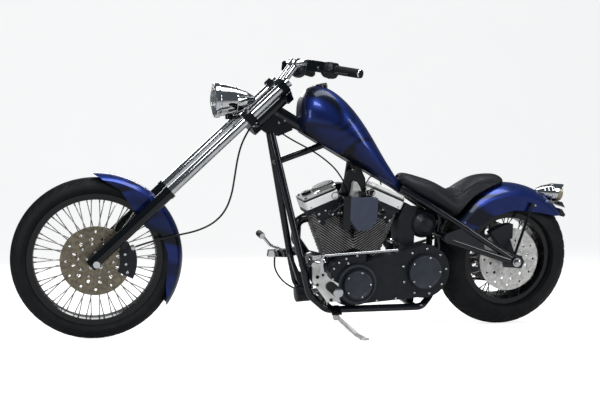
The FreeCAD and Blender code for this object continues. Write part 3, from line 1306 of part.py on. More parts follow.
# ---------------------------------------------------------------- the whole machine
make_wheels()
make_front_axle()
make_fork()
make_clamps()
make_handlebar()
make_headlamp()
make_front_fender()
make_front_caliper()
make_frame_front()
make_oil_tank()
doc.recompute()
make_frame_cradle()
make_rear_frame()
make_frame_cross()
make_rear_axle()
make_rear_caliper()
make_crankcase()
for cylinder_end, cylinder_place in (("front", FRONT_CYLINDER), ("rear", REAR_CYLINDER)):
    make_cylinder(cylinder_end, cylinder_place)
    make_rocker_cover(cylinder_end, cylinder_place)
doc.recompute()
make_primary()
make_transmission()
make_belt()
make_cam_cover()
make_air_cleaner()
make_coil_cover()
make_exhaust()
make_oil_filter()
make_fuel_tank()
make_top_mount()
make_seat()
make_battery_box()
make_rear_fender()
make_tail_lamp()
make_foot_controls()
make_side_stand()
make_cords()
doc.recompute()

# the origin: on the ground, under the middle of the machine's box
box = FreeCAD.BoundBox()
for item in subparts.values():
    box.add(item.Shape.optimalBoundingBox(False, False))
shift = V(-box.Center.x, -box.Center.y, 0)
for item in subparts.values():
    item.Placement = FreeCAD.Placement(shift, FreeCAD.Rotation()).multiply(item.Placement)
doc.recompute()


def on_machine(point):
    """Where a point of the upright machine ends up."""
    return LEANED.multVec(point) + shift


print("box", [round(n, 1) for n in (box.XLength, box.YLength, box.ZMin, box.ZMax)], "shift", shift)
print("steering axis", on_machine(neck_axis(960)), LEANED.Rotation.multVec(FORK_UP))
print("front axle", on_machine(FRONT_AXLE), "rear axle", on_machine(REAR_AXLE),
      LEANED.Rotation.multVec(V(0, 1, 0)))
print("stand", on_machine(STAND_PIVOT), LEANED.Rotation.multVec(stand_hinge()[0]), round(stand_hinge()[1], 2))

for item in doc.Objects:
    if "Invalid" in item.State or "Error" in item.State:
        raise RuntimeError(f"{item.Label} failed: {item.State}")
for label, item in subparts.items():
    if item.Shape.isNull() or not item.Shape.isValid():
        raise RuntimeError(f"{label} has no valid shape")
os.makedirs("parts", exist_ok=True)
for label, item in subparts.items():
    item.Shape.exportStep(f"parts/{label}.step")
print(len(subparts), "sub-parts")
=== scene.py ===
"""Looks for a leaning chopper: finishes, tyres, seat, cords, fastenings and small parts."""

import itertools
import json
import logging
import math
from collections.abc import Callable, Iterable, Sequence
from dataclasses import dataclass, field
from enum import Enum
from typing import Any

import bpy
import numpy as np
from mathutils import Matrix, Vector
from mathutils.bvhtree import BVHTree

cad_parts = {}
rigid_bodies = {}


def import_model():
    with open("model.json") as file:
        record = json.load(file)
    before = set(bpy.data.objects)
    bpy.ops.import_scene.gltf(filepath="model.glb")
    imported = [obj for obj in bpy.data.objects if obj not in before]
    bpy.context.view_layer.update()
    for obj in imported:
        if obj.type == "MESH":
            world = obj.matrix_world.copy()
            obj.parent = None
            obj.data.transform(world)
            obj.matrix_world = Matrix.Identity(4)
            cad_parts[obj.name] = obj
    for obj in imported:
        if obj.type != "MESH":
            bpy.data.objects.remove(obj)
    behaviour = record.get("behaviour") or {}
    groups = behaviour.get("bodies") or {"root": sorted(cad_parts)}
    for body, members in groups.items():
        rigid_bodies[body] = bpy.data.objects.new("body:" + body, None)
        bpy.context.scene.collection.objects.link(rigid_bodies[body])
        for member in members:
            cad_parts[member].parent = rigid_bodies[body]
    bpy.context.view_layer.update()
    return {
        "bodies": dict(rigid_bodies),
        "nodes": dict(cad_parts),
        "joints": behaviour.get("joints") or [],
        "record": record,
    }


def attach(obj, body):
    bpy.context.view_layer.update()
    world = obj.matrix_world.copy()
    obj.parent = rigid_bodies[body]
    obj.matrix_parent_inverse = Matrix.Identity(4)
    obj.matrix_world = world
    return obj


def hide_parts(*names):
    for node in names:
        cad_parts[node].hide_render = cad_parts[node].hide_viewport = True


LOG = logging.getLogger("chopper")
Colour = tuple[float, float, float]
Array = np.ndarray
Span = tuple[float, float]
Point = tuple[float, float, float]
Profile = Sequence[tuple[float, float]]
MM = 0.001


def unit(way: Array) -> Array:
    """Return a direction of length 1."""
    return way / np.linalg.norm(way)


def square_to(way: Array, along: Array) -> Array:
    """Return the part of a direction that is square to another, as a unit vector."""
    return unit(way - along * (along @ way))


def placed(name: str, data: Any) -> Any:
    """Return a new object of the scene that shows some data."""
    made = bpy.data.objects.new(name, data)
    bpy.context.scene.collection.objects.link(made)
    return made


def shade(mesh: Any, crease: float | None = None) -> None:
    """Shade a mesh smooth, with sharp edges past an angle in degrees if one is given."""
    mesh.polygons.foreach_set("use_smooth", np.ones(len(mesh.polygons), dtype=bool))
    if crease is not None:
        mesh.set_sharp_from_angle(angle=math.radians(crease))


def looking(position: Iterable[float], ahead: Vector) -> Matrix:
    """Return the matrix of a camera or a lamp that looks one way."""
    return Matrix.Translation(position) @ ahead.to_track_quat("-Z", "Y").to_matrix().to_4x4()


# ---------------------------------------------------------------- places
@dataclass(frozen=True)
class Place:
    """A set of axes in the row frame: where it starts and its three directions."""

    origin: Point
    ahead: Point
    left: Point
    up: Point

    def point(self, local: Iterable[float]) -> Array:
        """Return one local point (mm) in the row frame (m)."""
        return self.points(np.asarray([list(local)], dtype=float))[0]

    def points(self, local: Array) -> Array:
        """Turn local points into the row frame.

        Args:
            local: points in mm, the last axis being x, y, z.

        Returns:
            The same points in metres: origin + x ahead + y left + z up.
        """
        basis = np.array([self.ahead, self.left, self.up])
        return np.asarray(self.origin) + (np.asarray(local, dtype=float) * MM) @ basis

    def direction(self, local: Iterable[float]) -> Array:
        """Return a local direction as a unit vector of the row frame."""
        return unit(np.asarray(list(local), dtype=float) @ np.array([self.ahead, self.left, self.up]))

    def aimed(self, at: Iterable[float], along: Iterable[float]) -> "Place":
        """Return axes that start at a local point, their up along a local direction."""
        up = self.direction(along)
        rough = np.array([1.0, 0.0, 0.0]) if abs(up[0]) < 0.8 else np.array([0.0, 1.0, 0.0])
        left = unit(np.cross(up, rough))
        return Place(tuple(self.point(at)), tuple(np.cross(left, up)), tuple(left), tuple(up))


# the stand's lean, the fork's rake, and where the upright machine's origin goes (m)
LEAN, RAKE = math.radians(7.0), math.radians(46.3)
COS, SIN = math.cos(LEAN), math.sin(LEAN)
SHIFT = (0.9225, -0.12672574)
# how far the fork's axis runs ahead of the steering axis, in mm
TRAIL_OFFSET = 8.0
LEFT = (0.0, COS, -SIN)


def leaned(x: float, y: float, z: float) -> Point:
    """Return where a point (mm) of the upright machine is, in metres, once it leans."""
    return (x * MM + SHIFT[0], (y * COS + z * SIN) * MM + SHIFT[1], (z * COS - y * SIN) * MM)


def turned(x: float, z: float) -> Point:
    """Return a direction in the machine's middle plane, once it leans."""
    return (x, z * SIN, z * COS)


def tipped(x: float, z: float, angle: float = 0.0) -> Place:
    """Return axes at a point (mm) of the leaning machine's middle plane, tipped forwards by an angle."""
    level, down = math.cos(angle), math.sin(angle)
    return Place(leaned(x, 0, z), turned(level, -down), LEFT, turned(down, level))


# heights of the axles and the distance between them, in mm
FRONT_AXLE_Z, REAR_AXLE_Z, WHEELBASE = 345.338, 323.752, 1867.0
MACHINE = tipped(0, 0)
FORK = tipped(TRAIL_OFFSET * math.cos(RAKE), FRONT_AXLE_Z + TRAIL_OFFSET * math.sin(RAKE), -RAKE)
FRONT_WHEEL = tipped(0, FRONT_AXLE_Z)
REAR_WHEEL = tipped(-WHEELBASE, REAR_AXLE_Z)
# the crank's middle in the machine's mm
CRANK = (-1115.0, 0.0, 238.0)
# the front (+1) and rear (-1) cylinders with their axes: up runs along the bore
CYLINDERS = tuple((side, tipped(CRANK[0], CRANK[2], math.radians(22.5) * side)) for side in (1, -1))


# ---------------------------------------------------------------- finishes
class Texture(Enum):
    """What the surface of a finish shows close up."""

    SMOOTH = "smooth"
    CAST = "cast"
    BRUSHED = "brushed"
    TURNED = "turned"
    LEATHER = "leather"
    RUBBER = "rubber"
    FLAMES = "flames"
    RIBBED_GLASS = "ribbed glass"


# for each plain texture: scale, detail and distortion of its clouds, then its bump's scale (of the grain),
# detail, depth (of the finish's depth) and strength
GRAINS = {Texture.SMOOTH: (9.0, 5.0, 0.0, 6, 3.0, 0.25, 0.4),
          Texture.CAST: (22.0, 6.0, 0.0, 14, 6.0, 4, 1.0),
          Texture.TURNED: (34.0, 8.0, 1.5, 12, 2.0, 1, 1.0),
          Texture.RUBBER: (14.0, 8.0, 0.0, 10, 4.0, 3, 1.0)}


class Graph:
    """A small wrapper round a material's nodes."""

    def __init__(self, name: str) -> None:
        """Start an empty material with a shader and an output."""
        self.material = bpy.data.materials.new(name)
        self.material.use_nodes = True
        self.tree = self.material.node_tree
        self.tree.nodes.clear()
        self.shader = self.tree.nodes.new("ShaderNodeBsdfPrincipled")
        output = self.tree.nodes.new("ShaderNodeOutputMaterial")
        self.join(self.shader.outputs["BSDF"], output.inputs["Surface"])

    def join(self, source: Any, target: Any) -> None:
        """Link one socket to another."""
        self.tree.links.new(source, target)

    def node(self, kind: str, settings: dict[str, Any] | None = None, **inputs: Any) -> Any:
        """Add a node.

        Args:
            kind: the node's type without its ShaderNode prefix.
            settings: properties of the node.
            **inputs: socket names (underscores for spaces, or i and a number) to a value or a socket to link.

        Returns:
            The new node.
        """
        made = self.tree.nodes.new("ShaderNode" + kind)
        for key, setting in (settings or {}).items():
            setattr(made, key, setting)
        for key, given in inputs.items():
            numbered = key[0] == "i" and key[1:].isdigit()
            socket = made.inputs[int(key[1:]) if numbered else key.replace("_", " ")]
            if isinstance(given, bpy.types.NodeSocket):
                self.join(given, socket)
            else:
                socket.default_value = given
        return made

    def coordinates(self, scale: Point = (1, 1, 1)) -> Any:
        """Return a socket with the object's own coordinates, scaled."""
        source = self.node("TexCoord")
        mapped = self.node("Mapping", Vector=source.outputs["Object"], Scale=scale)
        return mapped.outputs["Vector"]

    def noise(self, vector: Any, scale: float, detail: float = 4.0, distortion: float = 0.0) -> Any:
        """Return the factor of a noise texture."""
        made = self.node("TexNoise", Vector=vector, Scale=scale, Detail=detail, Distortion=distortion)
        return made.outputs["Fac"]

    def ramp(self, factor: Any, stops: Sequence[tuple[float, Colour | float]]) -> Any:
        """Return the colour of a ramp over a factor.

        Args:
            factor: the socket that drives the ramp.
            stops: (position, colour or grey) pairs.

        Returns:
            The ramp's colour socket.
        """
        made = self.node("ValToRGB", Fac=factor)
        elements = made.color_ramp.elements
        while len(elements) < len(stops):
            elements.new(0.5)
        for element, (position, colour) in zip(elements, stops):
            element.position = position
            rgb = (colour, colour, colour) if isinstance(colour, (int, float)) else colour
            element.color = (*rgb, 1.0)
        return made.outputs["Color"]

    def span(self, factor: Any, low: float, high: float) -> Any:
        """Return a factor mapped from 0..1 to low..high."""
        made = self.node("MapRange", Value=factor, To_Min=low, To_Max=high)
        return made.outputs["Result"]

    def bump(self, height: Any, distance: float, strength: float = 1.0) -> None:
        """Give the shader a bump from a height socket, its depth in metres."""
        made = self.node("Bump", Height=height, Distance=distance, Strength=strength)
        self.join(made.outputs["Normal"], self.shader.inputs["Normal"])


@dataclass(frozen=True)
class Finish:
    """A surface finish, and the material that shows it."""

    name: str
    slot: str
    colour: Colour
    roughness: float
    metallic: float = 0.0
    texture: Texture = Texture.SMOOTH
    second: Colour | None = None
    coat: float = 0.0
    grain: float = 60.0
    depth: float = 0.00005
    transmission: float = 0.0
    specular: float = 0.5

    def material(self) -> Any:
        """Return this finish's material, made once."""
        return bpy.data.materials.get(self.name) or self._make()

    def _make(self) -> Any:
        """Build the shader: constants on its sockets, then the texture's own nodes."""
        graph = Graph(self.name)
        for socket, value in (("Metallic", self.metallic), ("Coat Weight", self.coat),
                              ("Coat Roughness", 0.04), ("Transmission Weight", self.transmission),
                              ("Specular IOR Level", self.specular)):
            graph.shader.inputs[socket].default_value = value
        second = self.second or tuple(channel * 0.72 for channel in self.colour)
        painters: dict[Texture, Callable[[Graph, Colour], None]] = {
            Texture.BRUSHED: self._brushed, Texture.LEATHER: self._leather, Texture.FLAMES: self._flames,
            Texture.RIBBED_GLASS: self._ribbed_glass}
        painters.get(self.texture, self._grained)(graph, second)
        graph.material.diffuse_color = (*self.colour, 1.0)
        return graph.material

    def _tone(self, graph: Graph, factor: Any, second: Colour) -> None:
        """Colour the shader between the finish's two colours, and vary its roughness."""
        colour = graph.ramp(factor, ((0.3, second), (0.7, self.colour)))
        graph.join(colour, graph.shader.inputs["Base Color"])
        graph.join(graph.span(factor, self.roughness * 1.25, self.roughness * 0.8),
                   graph.shader.inputs["Roughness"])

    def _grained(self, graph: Graph, second: Colour) -> None:
        """A plain texture: cloudy tones over a fine bump, both from the table."""
        scale, detail, distortion, fine, fine_detail, deep, strength = GRAINS[self.texture]
        vector = graph.coordinates()
        self._tone(graph, graph.noise(vector, scale, detail, distortion), second)
        graph.bump(graph.noise(vector, self.grain * fine, fine_detail), self.depth * deep, strength)

    def _brushed(self, graph: Graph, second: Colour) -> None:
        """Metal brushed along the machine's length."""
        streaks = graph.noise(graph.coordinates((1.0, 24.0, 24.0)), self.grain, 3.0)
        self._tone(graph, streaks, second)
        graph.bump(streaks, self.depth)

    def _leather(self, graph: Graph, second: Colour) -> None:
        """Leather: cells of grain, broken by soft creases."""
        vector = graph.coordinates()
        cells = graph.node("TexVoronoi", {"feature": "DISTANCE_TO_EDGE"}, Vector=vector,
                           Scale=self.grain * 5)
        creases = graph.noise(vector, 26.0, 6.0, 0.6)
        height = graph.node("Math", {"operation": "MULTIPLY_ADD"}, i0=cells.outputs["Distance"], i1=0.9,
                            i2=creases)
        self._tone(graph, creases, second)
        graph.bump(height.outputs["Value"], self.depth * 8)

    def _flames(self, graph: Graph, second: Colour) -> None:
        """Deep candy paint: dark licks that run back along the machine, painted shade that darkens the
        undersides, and fine flake.
        """
        vector = graph.coordinates((1.3, 0.5, 2.3))
        warp = graph.noise(vector, 1.6, 1.0, 0.4)
        pulled = graph.node("VectorMath", {"operation": "MULTIPLY_ADD"}, i0=warp, i1=(0.9, 0.3, 0.9),
                            i2=vector)
        licks = graph.noise(pulled.outputs["Vector"], 3.1, 0.6, 0.9)
        dark = tuple(channel * 0.3 for channel in self.colour)
        colour = graph.ramp(licks, ((0.0, second), (0.36, second), (0.50, self.colour), (0.58, self.colour),
                                    (0.78, dark)))
        # painted shade: the paint's colour is darkened where its surface faces down, away from the light
        normal = graph.node("TexCoord").outputs["Normal"]
        facing = graph.node("VectorMath", {"operation": "DOT_PRODUCT"}, i0=normal, i1=(0.0, 0.25, 0.97))
        painted_underside_shade = graph.node("MapRange", Value=facing.outputs["Value"], From_Min=-0.25, From_Max=0.55,
                         To_Min=0.28, To_Max=1.0)
        deep = graph.node("VectorMath", {"operation": "SCALE"}, i0=colour, Scale=painted_underside_shade.outputs["Result"])
        graph.join(deep.outputs["Vector"], graph.shader.inputs["Base Color"])
        flake = graph.noise(graph.coordinates(), 2600.0, 1.0)
        rough = graph.span(flake, self.roughness * 1.3, self.roughness * 0.7)
        graph.join(rough, graph.shader.inputs["Roughness"])

    def _ribbed_glass(self, graph: Graph, second: Colour) -> None:
        """Glass with shallow upright ribs."""
        graph.shader.inputs["Base Color"].default_value = (*self.colour, 1.0)
        graph.shader.inputs["Roughness"].default_value = self.roughness
        ribs = graph.node("TexWave", {"wave_type": "BANDS", "bands_direction": "Y"},
                          Vector=graph.coordinates(), Scale=38.0)
        graph.bump(ribs.outputs["Fac"], 0.0006)


CHROME = Finish("polished chrome", "chrome", (0.70, 0.71, 0.72), 0.06, 1.0, second=(0.50, 0.51, 0.53))
STEEL = Finish("spoke steel", "spoke_steel", (0.52, 0.50, 0.46), 0.24, 1.0, second=(0.30, 0.29, 0.27))
BRONZE = Finish("warm disc steel", "bronze_disc", (0.30, 0.265, 0.20), 0.38, 1.0, Texture.TURNED,
                second=(0.13, 0.112, 0.085))
DISC_STEEL = Finish("ground disc steel", "steel_disc", (0.78, 0.775, 0.76), 0.34, 0.55, Texture.TURNED,
                    second=(0.42, 0.415, 0.40))
GREY_ALLOY = Finish("grey alloy", "grey_alloy", (0.15, 0.155, 0.165), 0.38, 0.9, Texture.CAST)
BRUSHED_ALLOY = Finish("brushed cover alloy", "grey_alloy", (0.30, 0.30, 0.295), 0.55, 0.35, Texture.BRUSHED,
                       second=(0.20, 0.20, 0.197), specular=0.3)
# painted reflection: a near white base colour for the chrome bands of the rocker covers, standing in for
# their bright reflection of the studio
PAINTED_GLARE_ALLOY = Finish("painted reflection cover alloy", "chrome", (0.95, 0.95, 0.95), 0.32, 0.22, Texture.BRUSHED,
                      second=(0.84, 0.85, 0.86))
CAST_ALLOY = Finish("bright cast alloy", "grey_alloy", (0.86, 0.86, 0.84), 0.40, 0.25, Texture.CAST,
                    second=(0.46, 0.46, 0.45))
BLUE_SATIN = Finish("blue grey satin enamel", "satin_black", (0.036, 0.042, 0.056), 0.44, 0.0, Texture.CAST,
                    second=(0.022, 0.026, 0.036), specular=0.3)
CASE_ALLOY = Finish("case alloy", "case_alloy", (0.018, 0.021, 0.027), 0.44, 0.35, Texture.CAST,
                    second=(0.007, 0.009, 0.012), specular=0.25)
FIN_ALLOY = Finish("fin alloy", "fin_alloy", (0.36, 0.35, 0.35), 0.46, 0.55, Texture.CAST,
                   second=(0.20, 0.192, 0.196))
# painted shade: a near black copy of the fin alloy for the web that fills the shaded gaps between the fins
FIN_GAP_SHADE = Finish("fin gap shade alloy", "fin_alloy", (0.022, 0.022, 0.024), 0.6, 0.3, Texture.CAST,
                  second=(0.012, 0.012, 0.014), specular=0.2)
# painted light: the cool blue cast in the base colours of the black enamels, the rim black, the leather and
# the rubbers below is the bluish tint of their shade, not their own colour
BLACK_GLOSS = Finish("gloss black enamel", "gloss_black", (0.0040, 0.0052, 0.0070), 0.13, 0.0, coat=0.30,
                     second=(0.0020, 0.0027, 0.0040), specular=0.22)
BLACK_SATIN = Finish("satin black enamel", "satin_black", (0.0100, 0.0125, 0.0175), 0.40, 0.0, Texture.CAST,
                     coat=0.06, second=(0.0055, 0.0070, 0.0100), specular=0.24)
RIM_BLACK = Finish("black rim enamel", "black_rim", (0.004, 0.0048, 0.0060), 0.2, 0.0, coat=0.3,
                   second=(0.0025, 0.003, 0.004), specular=0.22)
CANDY_BLUE = Finish("candy blue paint", "blue_paint", (0.014, 0.036, 0.215), 0.34, 0.78, Texture.FLAMES,
                    coat=0.34, second=(0.0040, 0.0080, 0.0200), specular=0.3)
# painted shade: a dark, dull copy of the tank's blue paint for the tank's nose, standing in for the shade on
# its front
SHADED_NOSE_BLUE = Finish("shaded nose blue paint", "blue_paint", (0.0030, 0.0050, 0.0210), 0.5, 0.0,
                   second=(0.0016, 0.0026, 0.0090), specular=0.12)
FRAME_BLUE = Finish("blue black frame paint", "frame_paint", (0.0040, 0.0056, 0.0100), 0.18, 0.0, coat=0.4,
                    second=(0.0018, 0.0026, 0.0050), specular=0.25)
SLATE = Finish("slate blue cover", "slate_blue", (0.058, 0.068, 0.104), 0.5, 0.0, Texture.CAST, coat=0.05,
               second=(0.048, 0.057, 0.090), specular=0.2)
LEATHER = Finish("black leather", "seat_leather", (0.0085, 0.0105, 0.0145), 0.50, 0.0, Texture.LEATHER,
                 second=(0.0045, 0.0056, 0.0080), grain=90, specular=0.28)
STITCH = Finish("seat thread", "seat_leather", (0.055, 0.060, 0.075), 0.6, 0.0, Texture.RUBBER)
TYRE = Finish("tyre rubber", "tyre", (0.0066, 0.0076, 0.0090), 0.62, 0.0, Texture.RUBBER,
              second=(0.0032, 0.0038, 0.0046), specular=0.2)
RUBBER = Finish("grip rubber", "grip_rubber", (0.0048, 0.0052, 0.006), 0.55, 0.0, Texture.RUBBER,
                specular=0.28)
HOSE = Finish("hose rubber", "hose_rubber", (0.0048, 0.0052, 0.006), 0.34, 0.0, Texture.RUBBER,
              specular=0.3)
BELT = Finish("belt rubber", "belt_rubber", (0.0055, 0.006, 0.0068), 0.7, 0.0, Texture.RUBBER,
              specular=0.25)
GLASS = Finish("lamp glass", "lamp_glass", (0.93, 0.95, 0.96), 0.05, 0.0, Texture.RIBBED_GLASS,
               transmission=0.9)
CREAM = Finish("cream lens", "cream_lens", (0.34, 0.31, 0.22), 0.22, 0.0, coat=0.5,
               second=(0.20, 0.18, 0.12))
LAMP_SILVER = Finish("lamp reflector", "lamp_glass", (0.70, 0.71, 0.72), 0.12, 1.0,
                     second=(0.42, 0.43, 0.45))
CERAMIC = Finish("plug ceramic", "lamp_glass", (0.62, 0.61, 0.57), 0.3, 0.0, coat=0.5,
                 second=(0.48, 0.46, 0.42))
# the finish of each slot of the record
FINISHES = (CHROME, STEEL, BRONZE, DISC_STEEL, GREY_ALLOY, CASE_ALLOY, FIN_ALLOY, BLACK_GLOSS, BLACK_SATIN,
            RIM_BLACK, CANDY_BLUE, FRAME_BLUE, SLATE, LEATHER, TYRE, RUBBER, HOSE, BELT, GLASS, CREAM)


# ---------------------------------------------------------------- surfaces
def wrap_faces(rows: int, columns: int, ring: bool, loop: bool) -> Array:
    """Return the quads of a grid of points.

    Args:
        rows: how many rows of points.
        columns: how many points in a row.
        ring: whether each row closes on itself.
        loop: whether the last row joins the first.

    Returns:
        An array of four vertex numbers for each face.
    """
    down = np.arange(rows if loop else rows - 1)
    along = np.arange(columns if ring else columns - 1)
    i, j = np.meshgrid(down, along, indexing="ij")
    here, below = i * columns, (i + 1) % rows * columns
    after = (j + 1) % columns
    return np.stack([here + j, here + after, below + after, below + j], axis=-1).reshape(-1, 4)


@dataclass
class Shape:
    """Vertices and faces gathered for one piece."""

    name: str
    vertices: list[Array] = field(default_factory=list)
    faces: list[list[int]] = field(default_factory=list)
    count: int = 0

    def add(self, points: Array, faces: Iterable[Sequence[int]]) -> None:
        """Add points (row frame, metres) and the faces between them."""
        self.vertices.append(np.asarray(points, dtype=float).reshape(-1, 3))
        self.faces += [[number + self.count for number in face] for face in faces]
        self.count += len(self.vertices[-1])

    def grid(self, points: Array, loop: bool = False) -> None:
        """Add a grid of points as one surface, each of its rows closed on itself.

        Args:
            points: rows, columns and xyz, in the row frame.
            loop: whether the last row joins the first; otherwise both ends are closed flat.
        """
        rows, columns = points.shape[:2]
        faces = wrap_faces(rows, columns, True, loop).tolist()
        if not loop:
            faces.append(list(range(columns))[::-1])
            faces.append(list(range((rows - 1) * columns, rows * columns)))
        self.add(points, faces)

    def tube(self, path: Array, radius: float | Array, sides: int = 12) -> None:
        """Add a round bar along a path: rings square to it, carried without twist.

        Args:
            path: the points of its middle line, in the row frame.
            radius: one radius, or one for each point, in mm.
            sides: how many corners its section has.
        """
        points = np.asarray(path, dtype=float)
        along = np.gradient(points, axis=0)
        along /= np.linalg.norm(along, axis=1)[:, None]
        start = np.array([0.0, 0.0, 1.0]) if abs(along[0][2]) < 0.9 else np.array([1.0, 0.0, 0.0])
        across = []
        for heading in along:
            start = square_to(start, heading)
            across.append(start)
        side = np.array(across)
        other = np.cross(along, side)
        angle = np.linspace(0, 2 * np.pi, sides, endpoint=False)
        radii = np.broadcast_to(np.asarray(radius, dtype=float), len(points)) * MM
        rings = points[:, None] + radii[:, None, None] * (
            np.cos(angle)[None, :, None] * side[:, None] + np.sin(angle)[None, :, None] * other[:, None])
        self.grid(rings)

    def turned(self, place: Place, profile: Profile, sides: int = 32) -> None:
        """Add a shape turned about the up axis of a place.

        Args:
            place: the axes it is turned in.
            profile: (height, radius) pairs in mm, from end to end.
            sides: how many steps there are round it.
        """
        data = np.array(profile, dtype=float)
        angle = np.linspace(0, 2 * np.pi, sides, endpoint=False)
        self.grid(place.points(np.stack([data[:, 1:] * np.cos(angle), data[:, 1:] * np.sin(angle),
                                         np.repeat(data[:, :1], sides, axis=1)], axis=-1)))

    def bolt(self, place: Place, radius: float, height: float) -> None:
        """Add a hexagon head with its washer, standing up from a place's origin."""
        self.turned(place, [(0, radius * 1.35), (0.9, radius * 1.35)], 18)
        self.turned(place, [(0.9, radius * 1.1), (height - 0.6, radius * 1.1), (height, radius * 0.92)], 6)

    def screw(self, place: Place, radius: float, height: float) -> None:
        """Add a round socket head with its hollow."""
        self.turned(place, [(0, radius), (height - 0.7, radius), (height, radius - 0.7),
                            (height, radius * 0.55), (height - 2.0, radius * 0.5)], 14)

    def screws(self, place: Place, points: Iterable[Iterable[float]], along: Iterable[float], radius: float,
               height: float) -> None:
        """Add a socket head at each of some local points, all along one direction."""
        for at in points:
            self.screw(place.aimed(at, along), radius, height)

    def ribbed(self, place: Place, count: int, root: float, rise: float, sides: int) -> None:
        """Add a sleeve of rubber rings, 14 mm apart, that rise from its root radius."""
        self.turned(place, [(start * 14.0 + step, root + up) for start in range(count)
                            for step, up in ((0, 0), (1, rise), (10, rise), (11, 0))], sides)

    def panel(self, place: Place, across: Span, height: Span, flank: int, depth: Span, edge: float) -> None:
        """Add a raised panel with bevelled edges on the side of a place.

        Args:
            place: the axes: x across the panel, z up it, y out of it.
            across: its ends along x, in mm.
            height: its ends along z.
            flank: the side it is on, +1 left or -1 right.
            depth: where it starts and where its face is, out from the middle.
            edge: the width of its bevel.
        """
        (x0, x1), (z0, z1), (inner, outer) = across, height, depth
        rows = []
        for out, inset in ((inner, 0.0), (outer - edge * 0.4, 0.0), (outer, edge)):
            corners = [(x0 + inset, z0 + inset), (x1 - inset, z0 + inset), (x1 - inset, z1 - inset),
                       (x0 + inset, z1 - inset)]
            rows.append([(x, flank * out, z) for x, z in (corners if flank < 0 else corners[::-1])])
        self.grid(place.points(np.array(rows, dtype=float)))

    def plate(self, place: Place, outline: Profile, near: float, far: float) -> None:
        """Add a flat plate cut to an outline in x and z, from y = near to y = far."""
        x, z = np.array(outline, dtype=float).T
        if np.sum(x * np.roll(z, -1) - np.roll(x, -1) * z) > 0:
            x, z = x[::-1], z[::-1]
        faces = [np.stack([x, np.full_like(x, y), z], axis=-1) for y in (near, far)]
        self.grid(place.points(np.array(faces)))

    def block(self, place: Place, rows: Profile) -> None:
        """Add a block with a rounded square section, from (height, half width) rows."""
        corner = 15.0
        turn = np.linspace(0, np.pi / 2, 8) + np.arange(4)[:, None] * np.pi / 2
        signs = np.array([(1, 1), (-1, 1), (-1, -1), (1, -1)])[:, None]
        arc = corner * np.stack([np.cos(turn), np.sin(turn)], axis=-1)
        rings = [np.insert((signs * (half - corner) + arc).reshape(-1, 2), 2, height, axis=1)
                 for height, half in rows]
        self.grid(place.points(np.array(rings)))

    def piece(self, finish: Finish, body: str = "chassis", crease: float = 35.0) -> Any:
        """Make the piece, dress it and let it ride on its body.

        Args:
            finish: its finish.
            body: the CAD body it moves with.
            crease: the angle in degrees past which an edge stays sharp.

        Returns:
            The new object.
        """
        mesh = bpy.data.meshes.new(self.name)
        mesh.from_pydata(np.concatenate(self.vertices).tolist(), [], self.faces)
        mesh.update()
        shade(mesh, crease)
        return dress(placed(self.name, mesh), finish, body)


def dress(made: Any, finish: Finish, body: str) -> Any:
    """Give a new object its finish and its body, and report it."""
    made.data.materials.append(finish.material())
    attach(made, body)
    LOG.info("%s rides on %s", made.name, body)
    return made


def smooth_path(points: Sequence[Array], count: int) -> Array:
    """Return points along a smooth curve through a few given points."""
    data = np.array(points, dtype=float)
    padded = np.concatenate([[2 * data[0] - data[1]], data, [2 * data[-1] - data[-2]]])
    places = np.linspace(0, len(data) - 1, count)
    index = np.minimum(places.astype(int), len(data) - 2)
    t = (places - index)[:, None]
    before, first, last, after = (padded[index + k] for k in range(4))
    return 0.5 * (2 * first + (last - before) * t + (2 * before - 5 * first + 4 * last - after) * t ** 2
                  + (3 * first - before - 3 * last + after) * t ** 3)


def ring_points(radius: float, count: int, start: float = 0.0) -> list[tuple[float, float]]:
    """Return count points (mm) evenly round a circle."""
    angles = start + np.arange(count) * 2 * np.pi / count
    return [(radius * math.cos(angle), radius * math.sin(angle)) for angle in angles]


# ---------------------------------------------------------------- the sub-assemblies
@dataclass
class FrameFinishes:
    """The finish of every CAD node that stays."""

    by_slot: dict[str, Finish] = field(default_factory=lambda: {finish.slot: finish for finish in FINISHES})

    def dress(self, frame: dict[str, Any]) -> None:
        """Give each node the material of its slot in the record."""
        slots = {row["node"]: row["material_slot"] for row in frame["record"]["subparts"]}
        for node, made in frame["nodes"].items():
            made.data.materials.clear()
            made.data.materials.append(self.by_slot[slots[node]].material())
            shade(made.data, 28)
        LOG.info("%d nodes dressed", len(slots))


